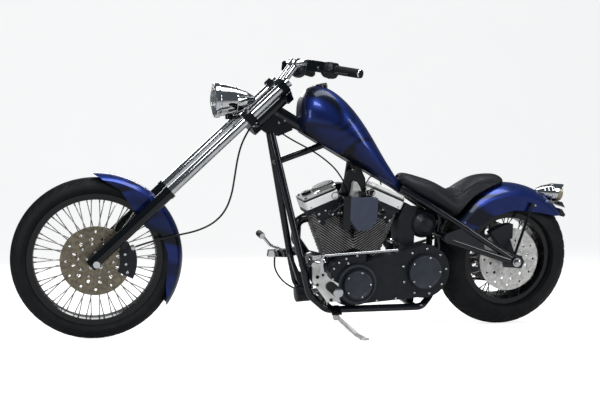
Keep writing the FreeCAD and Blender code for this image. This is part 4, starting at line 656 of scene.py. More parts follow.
@dataclass
class Studio:
    """The camera, the lights and the pale floor."""

    focal_share: float = 930.69 / 600
    yaw: float = math.radians(14.4736)
    pitch: float = math.radians(0.7351)
    position: Point = (0.1445 + SHIFT[0], 4.0552 + SHIFT[1], 0.6391)
    # name, place, width and height, and watts of each lamp; all of them look at the same point
    lamps: tuple[tuple[str, Point, Span, float], ...] = (
        ("key", (1.9, 3.4, 3.2), (1.9, 0.8), 75.0), ("top", (-0.3, 0.5, 3.4), (3.4, 1.1), 85.0),
        ("tail", (-3.2, 2.2, 1.7), (0.7, 2.2), 42.0), ("back", (0.5, -3.2, 2.4), (2.6, 1.2), 60.0),
        ("nose", (3.4, 2.0, 0.9), (0.5, 1.4), 22.0))
    aim: Point = (0.0, 0.0, 0.6)

    def build(self) -> None:
        """Make the camera, the world, the lights and the floor."""
        self._camera()
        world = bpy.data.worlds.new("studio")
        world.use_nodes = True
        background = world.node_tree.nodes["Background"]
        background.inputs["Color"].default_value = (0.78, 0.90, 1.0, 1.0)
        path, span = (world.node_tree.nodes.new("ShaderNode" + kind) for kind in ("LightPath", "MapRange"))
        span.inputs["To Min"].default_value, span.inputs["To Max"].default_value = 0.12, 1.2
        world.node_tree.links.new(path.outputs["Is Camera Ray"], span.inputs["Value"])
        world.node_tree.links.new(span.outputs["Result"], background.inputs["Strength"])
        bpy.context.scene.world = world
        bpy.context.scene.view_settings.view_transform = "Standard"
        for name, place, spread, power in self.lamps:
            light = bpy.data.lights.new(name, "AREA")
            light.shape = "RECTANGLE"
            light.size, light.size_y = spread
            light.energy = power
            placed(name, light).matrix_world = looking(place, Vector(self.aim) - Vector(place))
        self._floor()

    def _camera(self) -> None:
        """Make the camera that looks across the machine from its left front."""
        camera = bpy.data.cameras.new("camera")
        camera.sensor_width = 36.0
        camera.lens = camera.sensor_width * self.focal_share
        made = placed("camera", camera)
        level = math.cos(self.pitch)
        ahead = Vector((-math.sin(self.yaw) * level, -math.cos(self.yaw) * level, -math.sin(self.pitch)))
        made.matrix_world = looking(self.position, ahead)
        bpy.context.scene.camera = made

    def _floor(self) -> None:
        """Make the floor, which curves up far behind."""
        span = np.linspace(-14, 14, 29)
        profile = np.concatenate([np.linspace(9, -6, 16), -6 - 5 * np.sin(np.linspace(0.1, 1.5, 14))])
        height = np.concatenate([np.zeros(16), 5 - 5 * np.cos(np.linspace(0.1, 1.5, 14))])
        x, y = np.meshgrid(span, profile, indexing="ij")
        z = np.broadcast_to(height, x.shape)
        mesh = bpy.data.meshes.new("floor")
        faces = wrap_faces(*x.shape, ring=False, loop=False)
        mesh.from_pydata(np.stack([x, y, z], axis=-1).reshape(-1, 3).tolist(), [], faces.tolist())
        shade(mesh)
        graph = Graph("pale floor")
        graph.shader.inputs["Roughness"].default_value = 0.8
        tone = graph.ramp(graph.noise(graph.coordinates(), 1.5), ((0.3, 0.545), (0.7, 0.550)))
        graph.join(tone, graph.shader.inputs["Base Color"])
        graph.join(tone, graph.shader.inputs["Emission Color"])
        seen = graph.node("LightPath").outputs["Is Camera Ray"]
        graph.join(graph.span(seen, 0.12, 1.5), graph.shader.inputs["Emission Strength"])
        mesh.materials.append(graph.material)
        placed("floor", mesh)


@dataclass
class Wheel:
    """One tyre with its tread, the nipples, the valve and the disc's screws; sizes are in mm.

    The hub is the radius and the half distance of its flanges; the lip is how far the rim stands over
    the bead.
    """

    end: str
    place: Place
    radius: float
    crown: float
    bead: float
    rim_width: float
    rim_bore: float
    spokes_per_row: int
    grooves: int
    disc_face: float
    hub: Span
    lip: float = 12.0
    tread_depth: float = 3.0

    def build(self) -> None:
        """Make every piece of the wheel."""
        self._tyre()
        self._nipples()
        self._screws()

    def _section(self) -> Array:
        """Return the tyre's section from bead to bead as (across, radius), its crown half round."""
        angle = np.linspace(-np.pi / 2, np.pi / 2, 49)
        arc = self.crown * np.stack([np.sin(angle), np.cos(angle)], axis=-1)
        arc[:, 1] += self.radius - self.crown
        share = np.linspace(0, 1, 8)[:-1, None]
        foot = np.array([[self.rim_width / 2, self.bead + self.lip + 2.0]])
        wall = np.concatenate([[[self.rim_width / 2, self.bead]], foot + (arc[-1] - foot) * share])
        return np.concatenate([wall * (-1, 1), arc, wall[::-1]])

    def _tyre(self) -> None:
        """Make the tyre: its section carried round, with cut tread blocks and ribs on its walls."""
        steps = 360
        section = self._section()
        turn = np.linspace(0, 2 * np.pi, steps, endpoint=False)
        across, reach = section[:, 0], section[:, 1]
        u, v = np.meshgrid(turn, across, indexing="ij")
        tread = np.clip((self.crown * 0.88 - np.abs(v)) / 4.0, 0, 1) * (reach[None] > self.bead + 18)
        slant = self.grooves * u + 9.0 * np.abs(v) / self.crown
        cut = np.clip((np.cos(slant) - 0.62) * 5, 0, 1) * (np.abs(v) > self.crown * 0.16)
        centre = np.clip(1.4 - np.abs(np.abs(v) - self.crown * 0.13) / 1.6, 0, 1)
        rib = np.clip(np.cos((reach[None] - self.bead) * 0.42), 0, 1) * 0.7 * (1 - tread)
        radius = reach[None] - self.tread_depth * tread * np.clip(cut + centre, 0, 1)
        wide = v * (1 + 0.006 * rib)
        points = np.stack([radius * np.cos(u), wide, radius * np.sin(u)], axis=-1)
        inner = (self.bead + 0.6) * np.stack([np.cos(turn), np.zeros(steps), np.sin(turn)], axis=-1)
        side = self.rim_width / 2 - 0.4
        closing = np.stack([inner + [0, side, 0], inner - [0, side, 0]], axis=1)
        shape = Shape(f"{self.end}_tyre_tread")
        shape.grid(self.place.points(np.concatenate([points, closing], axis=1)), loop=True)
        made = shape.piece(TYRE, f"{self.end}_wheel", crease=40)
        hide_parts(f"{self.end}_tyre")

    def _nipples(self) -> None:
        """Make the spoke nipples round the rim and the valve stem."""
        shape = Shape(f"{self.end}_nipples")
        pitch = 360.0 / self.spokes_per_row
        for side in (-1, 1):
            for row, turn in ((-1, -pitch * 1.35), (1, pitch * 1.35)):
                for number in range(self.spokes_per_row):
                    angle = number * pitch + pitch / 4 * side + (pitch / 2 if row > 0 else 0)
                    begin, far = math.radians(angle), math.radians(angle + turn)
                    start = np.array([self.hub[0] * math.cos(begin), side * (self.hub[1] + row * 4),
                                      -self.hub[0] * math.sin(begin)])
                    finish = np.array([(self.rim_bore + 4) * math.cos(far), side * (8 + row * 3),
                                       -(self.rim_bore + 4) * math.sin(far)])
                    along = unit(finish - start)
                    ends = np.array([finish - along * 17, finish - along * 5, finish - along * 2])
                    shape.tube(self.place.points(ends), np.array([3.0, 3.2, 3.6]), 6)
        stem = np.array([[reach - self.rim_bore, 0.0, 3.0] for reach in (-2, 26, 34)])
        shape.tube(self.place.points(stem), np.array([5.0, 4.0, 4.6]), 12)
        shape.piece(STEEL, f"{self.end}_wheel")

    def _screws(self) -> None:
        """Make the screws that hold the disc, and a rim of rivets round its carrier."""
        shape = Shape(f"{self.end}_disc_screws")
        for across, along in ring_points(34.0, 5, 0.3):
            shape.bolt(self.place.aimed((across, self.disc_face, along), (0, 1, 0)), 6.0, 5.5)
        rivets = [(across, self.disc_face, along) for across, along in ring_points(72.0, 10, 0.1)]
        shape.screws(self.place, rivets, (0, 1, 0), 5.5, 3.2)
        shape.piece(CHROME, f"{self.end}_wheel")


@dataclass
class Cords:
    """The front brake hose, the throttle cable and the foot brake's hose."""

    brake_route: tuple[Point, ...] = (
        (-45, 50, 850.4), (-60, 51, 795), (-100, 53, 728), (-152, 56, 662), (-200, 59, 600), (-232, 62, 532),
        (-234, 65, 460), (-208, 68, 388), (-168, 70.5, 325), (-130, 70.5, 262), (-98, 70.5, 205),
        (-75.8, 70.5, 157.6))
    cable_route: tuple[Point, ...] = (
        (-790, 16.8, 884), (-826, 17, 862), (-882, 22, 834), (-936, 26, 806), (-984, 28, 774),
        (-1028, 29, 738), (-1062, 28, 696), (-1088, 27, 650), (-1104, 26, 604))
    foot_route: tuple[Point, ...] = (
        (-815, -166, 305.8), (-812, -165, 268), (-822, -159, 234), (-842, -147, 204), (-864, -130, 184),
        (-885, -107, 173), (-899, -77, 170), (-908, -38.4, 169.9))

    def build(self) -> None:
        """Make the three cords from their routes."""
        self._cord("brake_hose", FORK, self.brake_route, 4.0, 0.785, "front_brake_hose", "steering")
        self._cord("throttle_cable", MACHINE, self.cable_route, 3.5, 0.436, "control_cable")
        self._cord("foot_brake_hose", MACHINE, self.foot_route, 4.0, 0.251, "reservoir_hose")

    @staticmethod
    def _cord(name: str, place: Place, route: Sequence[Point], radius: float, length: float, node: str,
              body: str = "chassis") -> None:
        """Make one cord as a smooth NURBS curve through its listed control points.

        Args:
            name: the piece's name.
            place: the axes its route is given in.
            route: its control points in mm.
            radius: its radius in mm.
            length: its real length in metres; not used.
            node: the CAD node it replaces.
            body: the CAD body it rides on.
        """
        points = place.points(np.array(route, dtype=float))
        curve = bpy.data.curves.new(name, "CURVE")
        curve.dimensions = "3D"
        curve.bevel_depth = radius * MM
        curve.bevel_resolution = 4
        curve.resolution_u = 12
        curve.use_fill_caps = True
        spline = curve.splines.new("NURBS")
        spline.points.add(len(points) - 1)
        for control, point in zip(spline.points, points):
            control.co = (*point, 1.0)
        spline.order_u = 3
        spline.use_endpoint_u = True
        made = dress(placed(name, curve), HOSE, body)
        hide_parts(node)


@dataclass
class Seat:
    """The stepped leather seat: a swollen pad with sewn panels, welts and stitches.

    A section is its x, floor, top and half width in mm. The panel is where the seams run, as a share of
    the half width; a seam has two ends in x, the step is where the rider's part meets the pillion's, and
    welt and thread are radii.
    """

    node: Any
    voxel: float = 0.005
    frames: int = 20
    most: float = 0.007
    panel: float = 0.70
    step: float = -1608.0
    seam: Span = (-1372.0, -1826.0)
    seam_depth: float = 3.4
    welt: float = 1.9
    thread: float = 0.42
    sections: tuple[tuple[float, ...], ...] = (
        (-1334, 672, 698, 40), (-1362, 652, 713, 74), (-1440, 604, 690, 118), (-1530, 552, 655, 132),
        (-1590, 520, 634, 126), (-1650, 520, 668, 112), (-1720, 540, 700, 102), (-1790, 560, 706, 90),
        (-1848, 620, 676, 62))

    def build(self) -> None:
        """Make the pad, press its seams in and sew them."""
        pad = self._pad()
        points = self._points(pad)
        pad.data.vertices.foreach_set("co", self._pressed(points, self._normals(pad)).ravel())
        pad.data.update()
        dress(pad, LEATHER, "chassis")
        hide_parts("seat")
        surface = BVHTree.FromPolygons([vertex.co for vertex in pad.data.vertices],
                                       [list(face.vertices) for face in pad.data.polygons])
        self._welts(surface)
        self._stitches(surface)

    def _pad(self) -> Any:
        """Return a remeshed copy of the solid, swollen as cloth by a soft pressure."""
        made = placed("seat_pad", self.node.data.copy())
        made.data.transform(self.node.matrix_world)
        made.data.materials.clear()
        remesh = made.modifiers.new("remesh", "REMESH")
        remesh.mode = "VOXEL"
        remesh.voxel_size = self.voxel
        soften = made.modifiers.new("soften", "SMOOTH")
        soften.factor = 0.6
        soften.iterations = 9
        self._apply(made)
        start = self._points(made)
        settings = made.modifiers.new("cloth", "CLOTH").settings
        settings.use_pressure = True
        settings.uniform_pressure_force = 4.0
        settings.effector_weights.gravity = 0.0
        settings.tension_stiffness = 12.0
        for step in range(1, self.frames + 1):
            bpy.context.scene.frame_set(step)
        self._apply(made)
        bpy.context.scene.frame_set(1)
        move = self._points(made) - start
        size = np.linalg.norm(move, axis=1, keepdims=True)
        kept = move * np.minimum(1.0, self.most / np.maximum(size, 1e-9))
        made.data.vertices.foreach_set("co", (start + kept * self._room(start)).ravel())
        subdivide = made.modifiers.new("subdivide", "SUBSURF")
        subdivide.levels = 1
        subdivide.render_levels = 1
        self._apply(made)
        shade(made.data)
        return made

    @staticmethod
    def _apply(made: Any) -> None:
        """Replace an object's mesh by what its modifiers show."""
        bpy.context.view_layer.update()
        evaluated = made.evaluated_get(bpy.context.evaluated_depsgraph_get())
        mesh = bpy.data.meshes.new_from_object(evaluated)
        made.modifiers.clear()
        made.data = mesh

    @staticmethod
    def _points(made: Any) -> Array:
        """Return the place of every vertex."""
        return np.array([vertex.co for vertex in made.data.vertices])

    @staticmethod
    def _local(points: Array) -> Array:
        """Return row frame points in the upright machine's mm."""
        basis = np.array([MACHINE.ahead, MACHINE.left, MACHINE.up])
        return (points - np.asarray(MACHINE.origin)) @ basis.T / MM

    @staticmethod
    def _normals(made: Any) -> Array:
        """Return the normal of every vertex."""
        return np.array([vertex.normal for vertex in made.data.vertices])

    def _room(self, points: Array) -> Array:
        """Return how freely each point may swell: not where the seat rests on the fender and the tubes."""
        local = self._local(points)
        floor, top = self._section(local[:, 0], 1), self._section(local[:, 0], 2)
        share = np.clip((local[:, 2] - floor) / np.maximum(top - floor, 1.0), 0, 1)
        return np.clip((share - 0.45) / 0.3, 0, 1)[:, None]

    def _section(self, x: Array | float, column: int = 3) -> Array:
        """Return the seat's half width, or another column of its sections, at each x."""
        table = np.array(self.sections, dtype=float)[::-1]
        return np.interp(x, table[:, 0], table[:, column])

    def _pressed(self, points: Array, normals: Array) -> Array:
        """Press the seams into the pad and raise soft puckers beside them."""
        local = self._local(points)
        x, y = local[:, 0], local[:, 1]
        upward = np.clip(normals @ np.asarray(MACHINE.up), 0, 1)
        off_seam = np.abs(y) - self.panel * self._section(x)
        along_seam = np.exp(-(off_seam / 3.2) ** 2)
        step = np.exp(-((x - self.step + 0.16 * np.abs(y)) / 3.6) ** 2) * (off_seam < 0)
        groove = np.maximum(along_seam, step) * (upward > 0.12)
        pucker = np.sin(x / 5.2 + 2.2 * np.sin(y / 31.0)) * np.exp(-(off_seam / 15.0) ** 2)
        crease = np.sin((x * 0.8 + np.abs(y) * 0.6) / 11.0) * np.exp(-((x - self.step - 8) / 34.0) ** 2)
        depth = -self.seam_depth * groove + 0.35 * pucker * (1 - along_seam) * upward + 0.5 * crease * upward
        return points + normals * (depth * MM)[:, None]

    @staticmethod
    def _drop(surface: BVHTree, places: Iterable[Span]) -> list[tuple[Array, Array]]:
        """Return the pad's surface points and normals under some (x, y) places of the machine."""
        down = -Vector(MACHINE.up)
        hits = [surface.ray_cast(Vector(MACHINE.point((x, y, 800.0))), down) for x, y in places]
        return [(np.array(hit[0]), np.array(hit[1])) for hit in hits if hit[0] is not None]

    def _seam_line(self, surface: BVHTree, ratio: float, count: int) -> list[tuple[Array, Array]]:
        """Return points along a lengthways seam; its share of the half width is minus on the right."""
        return self._drop(surface, [(x, ratio * self._section(x)) for x in np.linspace(*self.seam, count)])

    def _welts(self, surface: BVHTree) -> None:
        """Make the round welt along the edge of each top panel."""
        shape = Shape("seat_welts")
        for side in (-1, 1):
            line = self._seam_line(surface, side * self.panel, 90)
            path = np.array([point + normal * 0.0009 for point, normal in line])
            kernel = np.ones(5) / 5
            calm = np.stack([np.convolve(path[:, k], kernel, "valid") for k in range(3)], axis=1)
            shape.tube(calm, self.welt, 8)
        shape.piece(LEATHER)

    def _stitches(self, surface: BVHTree) -> None:
        """Make a row of stitches each side of the welt and across the step."""
        shape = Shape("seat_stitches")
        for side in (-1, 1):
            for ratio in (self.panel - 0.055, self.panel + 0.055):
                self._sew(shape, self._seam_line(surface, side * ratio, 270))
        for offset in (-7.0, 7.0):
            self._sew(shape, self._drop(surface, [(self.step + offset - 0.16 * abs(y), y)
                                                  for y in np.linspace(-0.62, 0.62, 88) * 122]))
        shape.piece(STITCH)

    def _sew(self, shape: Shape, line: list[tuple[Array, Array]]) -> None:
        """Add one short thread for every second gap of a line of surface points."""
        for (first, up), (last, _) in list(zip(line, line[1:]))[::2]:
            if np.linalg.norm(last - first) < 0.006:
                middle = (first + last) / 2 + up * 0.0006
                shape.tube(np.array([first - up * 0.0002, middle, last - up * 0.0002]), self.thread, 5)


@dataclass
class Engine:
    """The engine's fins, covers, fastenings, plugs and leads, push rod tubes and the fittings round it."""

    cleaner: Point = (CRANK[0] + 6, -170.0, CRANK[2] + 326)
    rear_cover: Span = (CRANK[0] - 315.0, CRANK[2] + 48.0)
    fin_low: float = 138.0
    fin_high: float = 357.0
    fin_half: float = 68.0
    fin_pitch: float = 9.0

    def build(self) -> None:
        """Make every piece of the engine."""
        self._head_sides()
        self._plugs()
        self._cover_screws()
        self._slanting_fins()
        self._primary()
        self._push_rods()
        self._vee_fittings()
        self._right_side()

    @staticmethod
    def _head_sides() -> None:
        """Make the dark castings on the sides of both heads, and their bolts."""
        shape, bright = Shape("head_castings"), Shape("head_screws")
        for (_, place), flank in itertools.product(CYLINDERS, (1, -1)):
            for low, high, wide, out in ((306, 357, 52, 81.0), (314, 352, 38, 84.0)):
                shape.panel(place, (-wide, wide), (low, high), flank, (70.0, out), 5.0)
            shape.panel(place, (24, 44), (290, 334), flank, (72.0, 85.5), 5.0)
            shape.panel(place, (-44, -30), (296, 344), flank, (72.0, 85.0), 4.0)
            for x, z in ((-46, 312), (47, 312), (-20, 318), (36, 342), (4, 346)):
                bright.bolt(place.aimed((x, flank * 80.6, z), (0, flank, 0)), 4.6, 5.0)
        shape.piece(CASE_ALLOY)
        bright.piece(CHROME)

    def _plugs(self) -> None:
        """Make the spark plugs, their boots and the leads up to the coil cover."""
        metal, white = Shape("plug_shells"), Shape("plug_ceramics")
        boots, leads = Shape("plug_boots"), Shape("plug_leads")
        for (side, place), goal in zip(CYLINDERS, ((-1090, 96, 612), (-1186, 96, 612))):
            seat = place.aimed((-side * 12.0, 82.5, 328), (0, 1, 0.22))
            metal.turned(seat, [(0, 11), (5, 11), (5, 8.5), (9, 8.5)], 20)
            metal.turned(seat, [(9, 9.5), (15, 9.5)], 6)
            white.turned(seat, [(15, 5.5), (20, 5.2), (24, 4.6)], 16)
            boots.turned(seat, [(20, 6.0), (22, 7.6), (34, 7.2), (40, 6.0), (44, 4.2)], 16)
            start, reach = seat.point((0, 0, 42)), seat.point((0, 0, 62))
            end = MACHINE.point(goal)
            mid = (reach + end) / 2 + MACHINE.direction((0, 1, 0.3)) * 0.014
            leads.tube(smooth_path([start, reach, mid, end], 24), 3.6, 10)
        metal.piece(CHROME)
        white.piece(CERAMIC)
        boots.piece(RUBBER)
        leads.piece(HOSE)

    def _cover_screws(self) -> None:
        """Make the bright bands, their near white colour a painted reflection, and the seams, brushed tops,
        bosses and screws of both rocker covers.
        """
        screws, seams, tops, bands, feet = (
            Shape("rocker_cover_" + part) for part in ("screws", "seams", "tops", "bands", "feet"))
        for side, place in CYLINDERS:
            feet.block(place, [(356.0, 79.4), (375.2, 79.4)])
            for flank in (1, -1):
                screws.screws(place, [(x, flank * 79.8, 383.0) for x in (-58, 58)], (0, flank, 0), 4.0, 2.6)
            bands.block(place, [(374.6, 78.8), (375.6, 79.9), (410.2, 79.9), (411.2, 78.8)])
            seams.block(place, [(410.8, 78.2), (420.0, 78.2)])
            tops.block(place, [(419.4, 78.4), (420.0, 79.4), (422.0, 79.4), (424.0, 77.6)])
            if side < 0:
                bands.block(place, [(423.0, 74.0), (424.5, 75.6), (436.0, 75.6), (438.0, 73.0)])
                continue
            boss = place.aimed((36.0, -26.0, 423.6), (0, 0, 1))
            seams.turned(boss, [(0, 22), (11, 22), (13, 20), (13, 13.4), (11.6, 12.8), (11.6, 0.4)], 36)
            tops.turned(boss, [(11.2, 12.0), (13.8, 12.0), (14.6, 11.0), (14.6, 0.4)], 32)
            lid = place.aimed((-44.0, -22.0, 423.6), (0, 0, 1))
            tops.turned(lid, [(0, 54), (7, 53), (12, 48), (15, 38), (17, 20), (17.6, 0.4)], 48)
            seams.turned(lid, [(10.2, 50.9), (13.6, 47.4), (14.4, 42), (13.4, 42)], 48)
            seams.screws(place, [(x, y, 423.8) for x in (-64, 64) for y in (-62, 62)], (0, 0, 1), 5.6, 4.4)
        screws.piece(CHROME)
        seams.piece(BLACK_SATIN)
        tops.piece(BRUSHED_ALLOY)
        bands.piece(PAINTED_GLARE_ALLOY)
        feet.piece(CASE_ALLOY)

    @staticmethod
    def _on_flank(x: Array, z: Array, flank: int, out: float) -> Array:
        """Return points over the rounded side of a cylinder's fins.

        Args:
            x: distances across the side.
            z: heights along the bore.
            flank: +1 left or -1 right.
            out: how far they stand out of the fins' edges.

        Returns:
            Local points in mm.
        """
        past = np.clip(np.abs(x) - 40.0, 0, 33.0)
        deep = np.sqrt(34.0 ** 2 - past ** 2)
        across = np.sign(x) * (np.minimum(np.abs(x), 40.0) + past * (1 + out / 34.0))
        return np.stack([across, flank * (40.0 + deep * (1 + out / 34.0)), z], axis=-1)

    def _fin(self, side: int, flank: int, number: int) -> Array | None:
        """Return one slanting fin of a cylinder.

        Args:
            side: +1 front cylinder or -1 rear.
            flank: +1 left or -1 right.
            number: how many fins it lies from the middle one.

        Returns:
            Its grid in mm, cut off where the fins' block ends, or None where too little of it is left.
        """
        slant = np.array([side * 0.545, 0.839])
        normal = np.array([slant[1], -slant[0]])
        x, z = np.array([0.0, 240.0]) + normal * number * self.fin_pitch
        ends = sorted(((-self.fin_half - x) / slant[0], (self.fin_half - x) / slant[0]))
        first = max(ends[0], (self.fin_low - z) / slant[1])
        last = min(ends[1], (self.fin_high - z) / slant[1])
        if last - first < 8:
            return None
        steps = np.linspace(first, last, max(2, int((last - first) / 7)))
        return np.stack([self._on_flank(x + steps * slant[0] + normal[0] * offset,
                                        z + steps * slant[1] + normal[1] * offset, flank, out)
                         for offset, out in ((-2.1, -1.0), (2.1, -1.0), (1.3, 4.6), (-1.3, 4.6))], axis=1)

    def _slanting_fins(self) -> None:
        """Make the slanting fins and, under them, a dark web that paints the shade between the fins, on both
        sides of both cylinders.
        """
        blades, webs = Shape("slanting_fins"), Shape("fin_shade_webs")
        across = np.linspace(-self.fin_half, self.fin_half, 31)
        for (side, place), flank in itertools.product(CYLINDERS, (1, -1)):
            levels = [np.full_like(across, z) for z in (self.fin_low - 2, self.fin_high)]
            web = np.array([np.concatenate([self._on_flank(across, level, flank, 0.6),
                                            self._on_flank(across, level, flank, -6.0)[::-1]])
                            for level in levels])
            webs.grid(place.points(web[:, ::-flank]))
            for number in range(-40, 41):
                fin = self._fin(side, flank, number)
                if fin is not None:
                    blades.grid(place.points(fin[:, ::flank]))
        blades.piece(FIN_ALLOY)
        webs.piece(FIN_GAP_SHADE)

    def _primary(self) -> None:
        """Make the rings, ribs and screws of the primary cover."""
        shape, dark = Shape("primary_screws"), Shape("primary_rings")
        edge = ((-1030, 334), (-1008, 308), (-1004, 262), (-1024, 216), (-1062, 352), (-1112, 364),
                (-1072, 330), (-1062, 176), (-1120, 152), (-1210, 160), (-1300, 168))
        rear_x, rear_z = self.rear_cover
        heads = [(x, 143.7 if x > -1100 else 142.0, z) for x, z in edge]
        heads += [(rear_x + along, 142.0, rear_z + up) for along, up in ring_points(104.0, 9, 0.25)]
        shape.screws(MACHINE, heads, (0, 1, 0), 5.0, 4.2)
        for x, z, radius, face in ((CRANK[0], CRANK[2], 54.0, 168.0), (rear_x, rear_z, 66.0, 160.0)):
            dark.turned(MACHINE.aimed((x, face, z), (0, 1, 0)), [
                (-0.6, radius + 8), (2.2, radius + 8), (3.4, radius + 5), (3.4, radius - 1),
                (1.2, radius - 4), (1.2, 12), (2.6, 8), (2.8, 0.4)], 64)
            rim = [(x + along, face + 3.4, z + up) for along, up in ring_points(radius + 2.0, 5, 0.6)]
            shape.screws(MACHINE, rim, (0, 1, 0), 4.4, 2.4)
        outer = MACHINE.aimed((CRANK[0], 154.0, CRANK[2]), (0, 1, 0))
        dark.turned(outer, [(-0.5, 86), (2.0, 86), (3.2, 84), (3.2, 79), (1.4, 77), (-0.5, 77)], 72)
        shape.piece(CHROME)
        dark.piece(BLUE_SATIN)

    def _push_rods(self) -> None:
        """Make the four push rod tubes on the right with their collars."""
        shape = Shape("push_rod_tubes")
        for side, place in CYLINDERS:
            for shift in (-16, 16):
                low = MACHINE.point((CRANK[0] + side * 34 + shift, -82, CRANK[2] + 116))
                high = place.point((side * 6 + shift * 1.3, -70, 306))
                along = high - low
                for start, end, radius in ((0.0, 1.0, 7.4), (0.0, 0.10, 10.5), (0.42, 0.56, 9.2),
                                           (0.90, 1.0, 10.5)):
                    shape.tube(low + along * np.linspace(start, end, 3)[:, None], radius, 18)
        shape.piece(CHROME)

    def _vee_fittings(self) -> None:
        """Make the knobs, tower, clips and black covers in the vee, then the plates ahead of it."""
        shape, dark = Shape("vee_fittings"), Shape("vee_clamps")
        for x, z, radius in ((-1022, 620, 20.0), (-1190, 632, 18.0), (-1111, 729, 7.5)):
            base = MACHINE.aimed((x, 34 if radius > 10 else 12, z), (0, 1, 0))
            knob = ((0, 0.6), (26, 0.6), (26, 0.92), (30, 1), (43, 1), (46, 1 - 2 / radius), (46, 0.66),
                    (42, 0.6))
            shape.turned(base, [(height, radius * share) for height, share in knob])
            inside = [(41, radius * 0.62), (43, radius * 0.6), (44, radius * 0.3), (44.4, 0.4)]
            dark.turned(base, inside, 28)
        link = np.array([(-1026, 62, 616), (-1066, 58, 615), (-1104, 52, 614)])
        shape.tube(MACHINE.points(link), 4.2, 14)
        shape.piece(STEEL)
        tower = Shape("vee_tower")
        tower.plate(MACHINE, ((-1099, 604), (-1106, 628), (-1111, 654), (-1112, 670), (-1119, 680),
                              (-1130, 676), (-1144, 652), (-1152, 630), (-1164, 604)), 24, 52)
        tower.turned(MACHINE.aimed((-1124, 52, 640), (0, 1, 0)), [(-1, 11), (5, 11), (7, 8), (7.4, 0.4)], 28)
        tower.piece(CAST_ALLOY)
        dark.plate(MACHINE, ((-1062, 600), (-1070, 660), (-1090, 716), (-1104, 748), (-1150, 742),
                             (-1176, 690), (-1186, 600)), 6, 22)
        dark.plate(MACHINE, ((-1045, 480), (-1045, 622), (-1079, 622), (-1079, 480)), 84, 136)
        clip = np.array([(-1176, 30, 668), (-1196, 40, 700), (-1232, 42, 694), (-1246, 38, 664)])
        dark.tube(smooth_path(MACHINE.points(clip), 20), 3.0, 10)
        dark.piece(BLACK_GLOSS)
        self._front_plates()

    @staticmethod
    def _front_plates() -> None:
        """Make the webs and the canister's shell low down ahead, and the foot control's bracket plate."""
        webs = Shape("front_webs")
        webs.plate(MACHINE, ((-838, 350), (-848, 350), (-886, 270), (-906, 262), (-940, 200), (-912, 188),
                             (-880, 228)), -16, 16)
        webs.turned(MACHINE.aimed((-924, 84, 343), (0, 1, 0)), [(0, 15), (22, 15), (26, 11), (26.4, 0.4)])
        can = MACHINE.aimed((-876, 0, 168), (-1, 0, 0.06))
        webs.turned(can, [(-2.0, 0.4), (-2.0, 32), (0.5, 37.8), (62, 37.8), (66.8, 34), (66.8, 14.4)], 48)
        webs.piece(BLACK_SATIN)
        bracket = Shape("foot_bracket_plate")
        bracket.plate(MACHINE, ((-907, 370), (-939, 365), (-945, 356), (-941, 295), (-973, 276), (-1027, 245),
                                (-1021, 191), (-1009, 164), (-978, 164), (-910, 254), (-907, 333)), 150, 161)
        bracket.piece(CAST_ALLOY)
        slots = Shape("foot_bracket_marks")
        for x, z, radius in ((-930, 277, 8), (-955, 285, 6), (-931, 242, 7), (-995, 174, 8), (-925, 340, 7)):
            mark = MACHINE.aimed((x, 160.6, z), (0, 1, 0))
            slots.turned(mark, [(0, radius), (1.0, radius), (1.0, 0.4)], 24)
        slots.piece(BLACK_GLOSS)

    def _right_side(self) -> None:
        """Make the air cleaner's ring and screws and the timing cover's screws."""
        shape, out = Shape("right_cover_screws"), (0, -1, 0)
        x, y, z = self.cleaner
        dome = [(-0.5, 80), (1.4, 80), (4.0, 70), (6.0, 48), (6.4, 20), (8.5, 16), (9.5, 0.4)]
        shape.turned(MACHINE.aimed(self.cleaner, out), dome, 72)
        face = [(x + along, y - 4.0, z + up) for along, up in ring_points(60.0, 3, 0.5)]
        shape.screws(MACHINE, face, out, 5.0, 4.0)
        timing = [(CRANK[0] + 18 + along, -90.3, CRANK[2] + 8 + up)
                  for along, up in ring_points(62.0, 7, 0.3)]
        shape.screws(MACHINE, timing, out, 4.4, 3.6)
        shape.piece(CHROME)


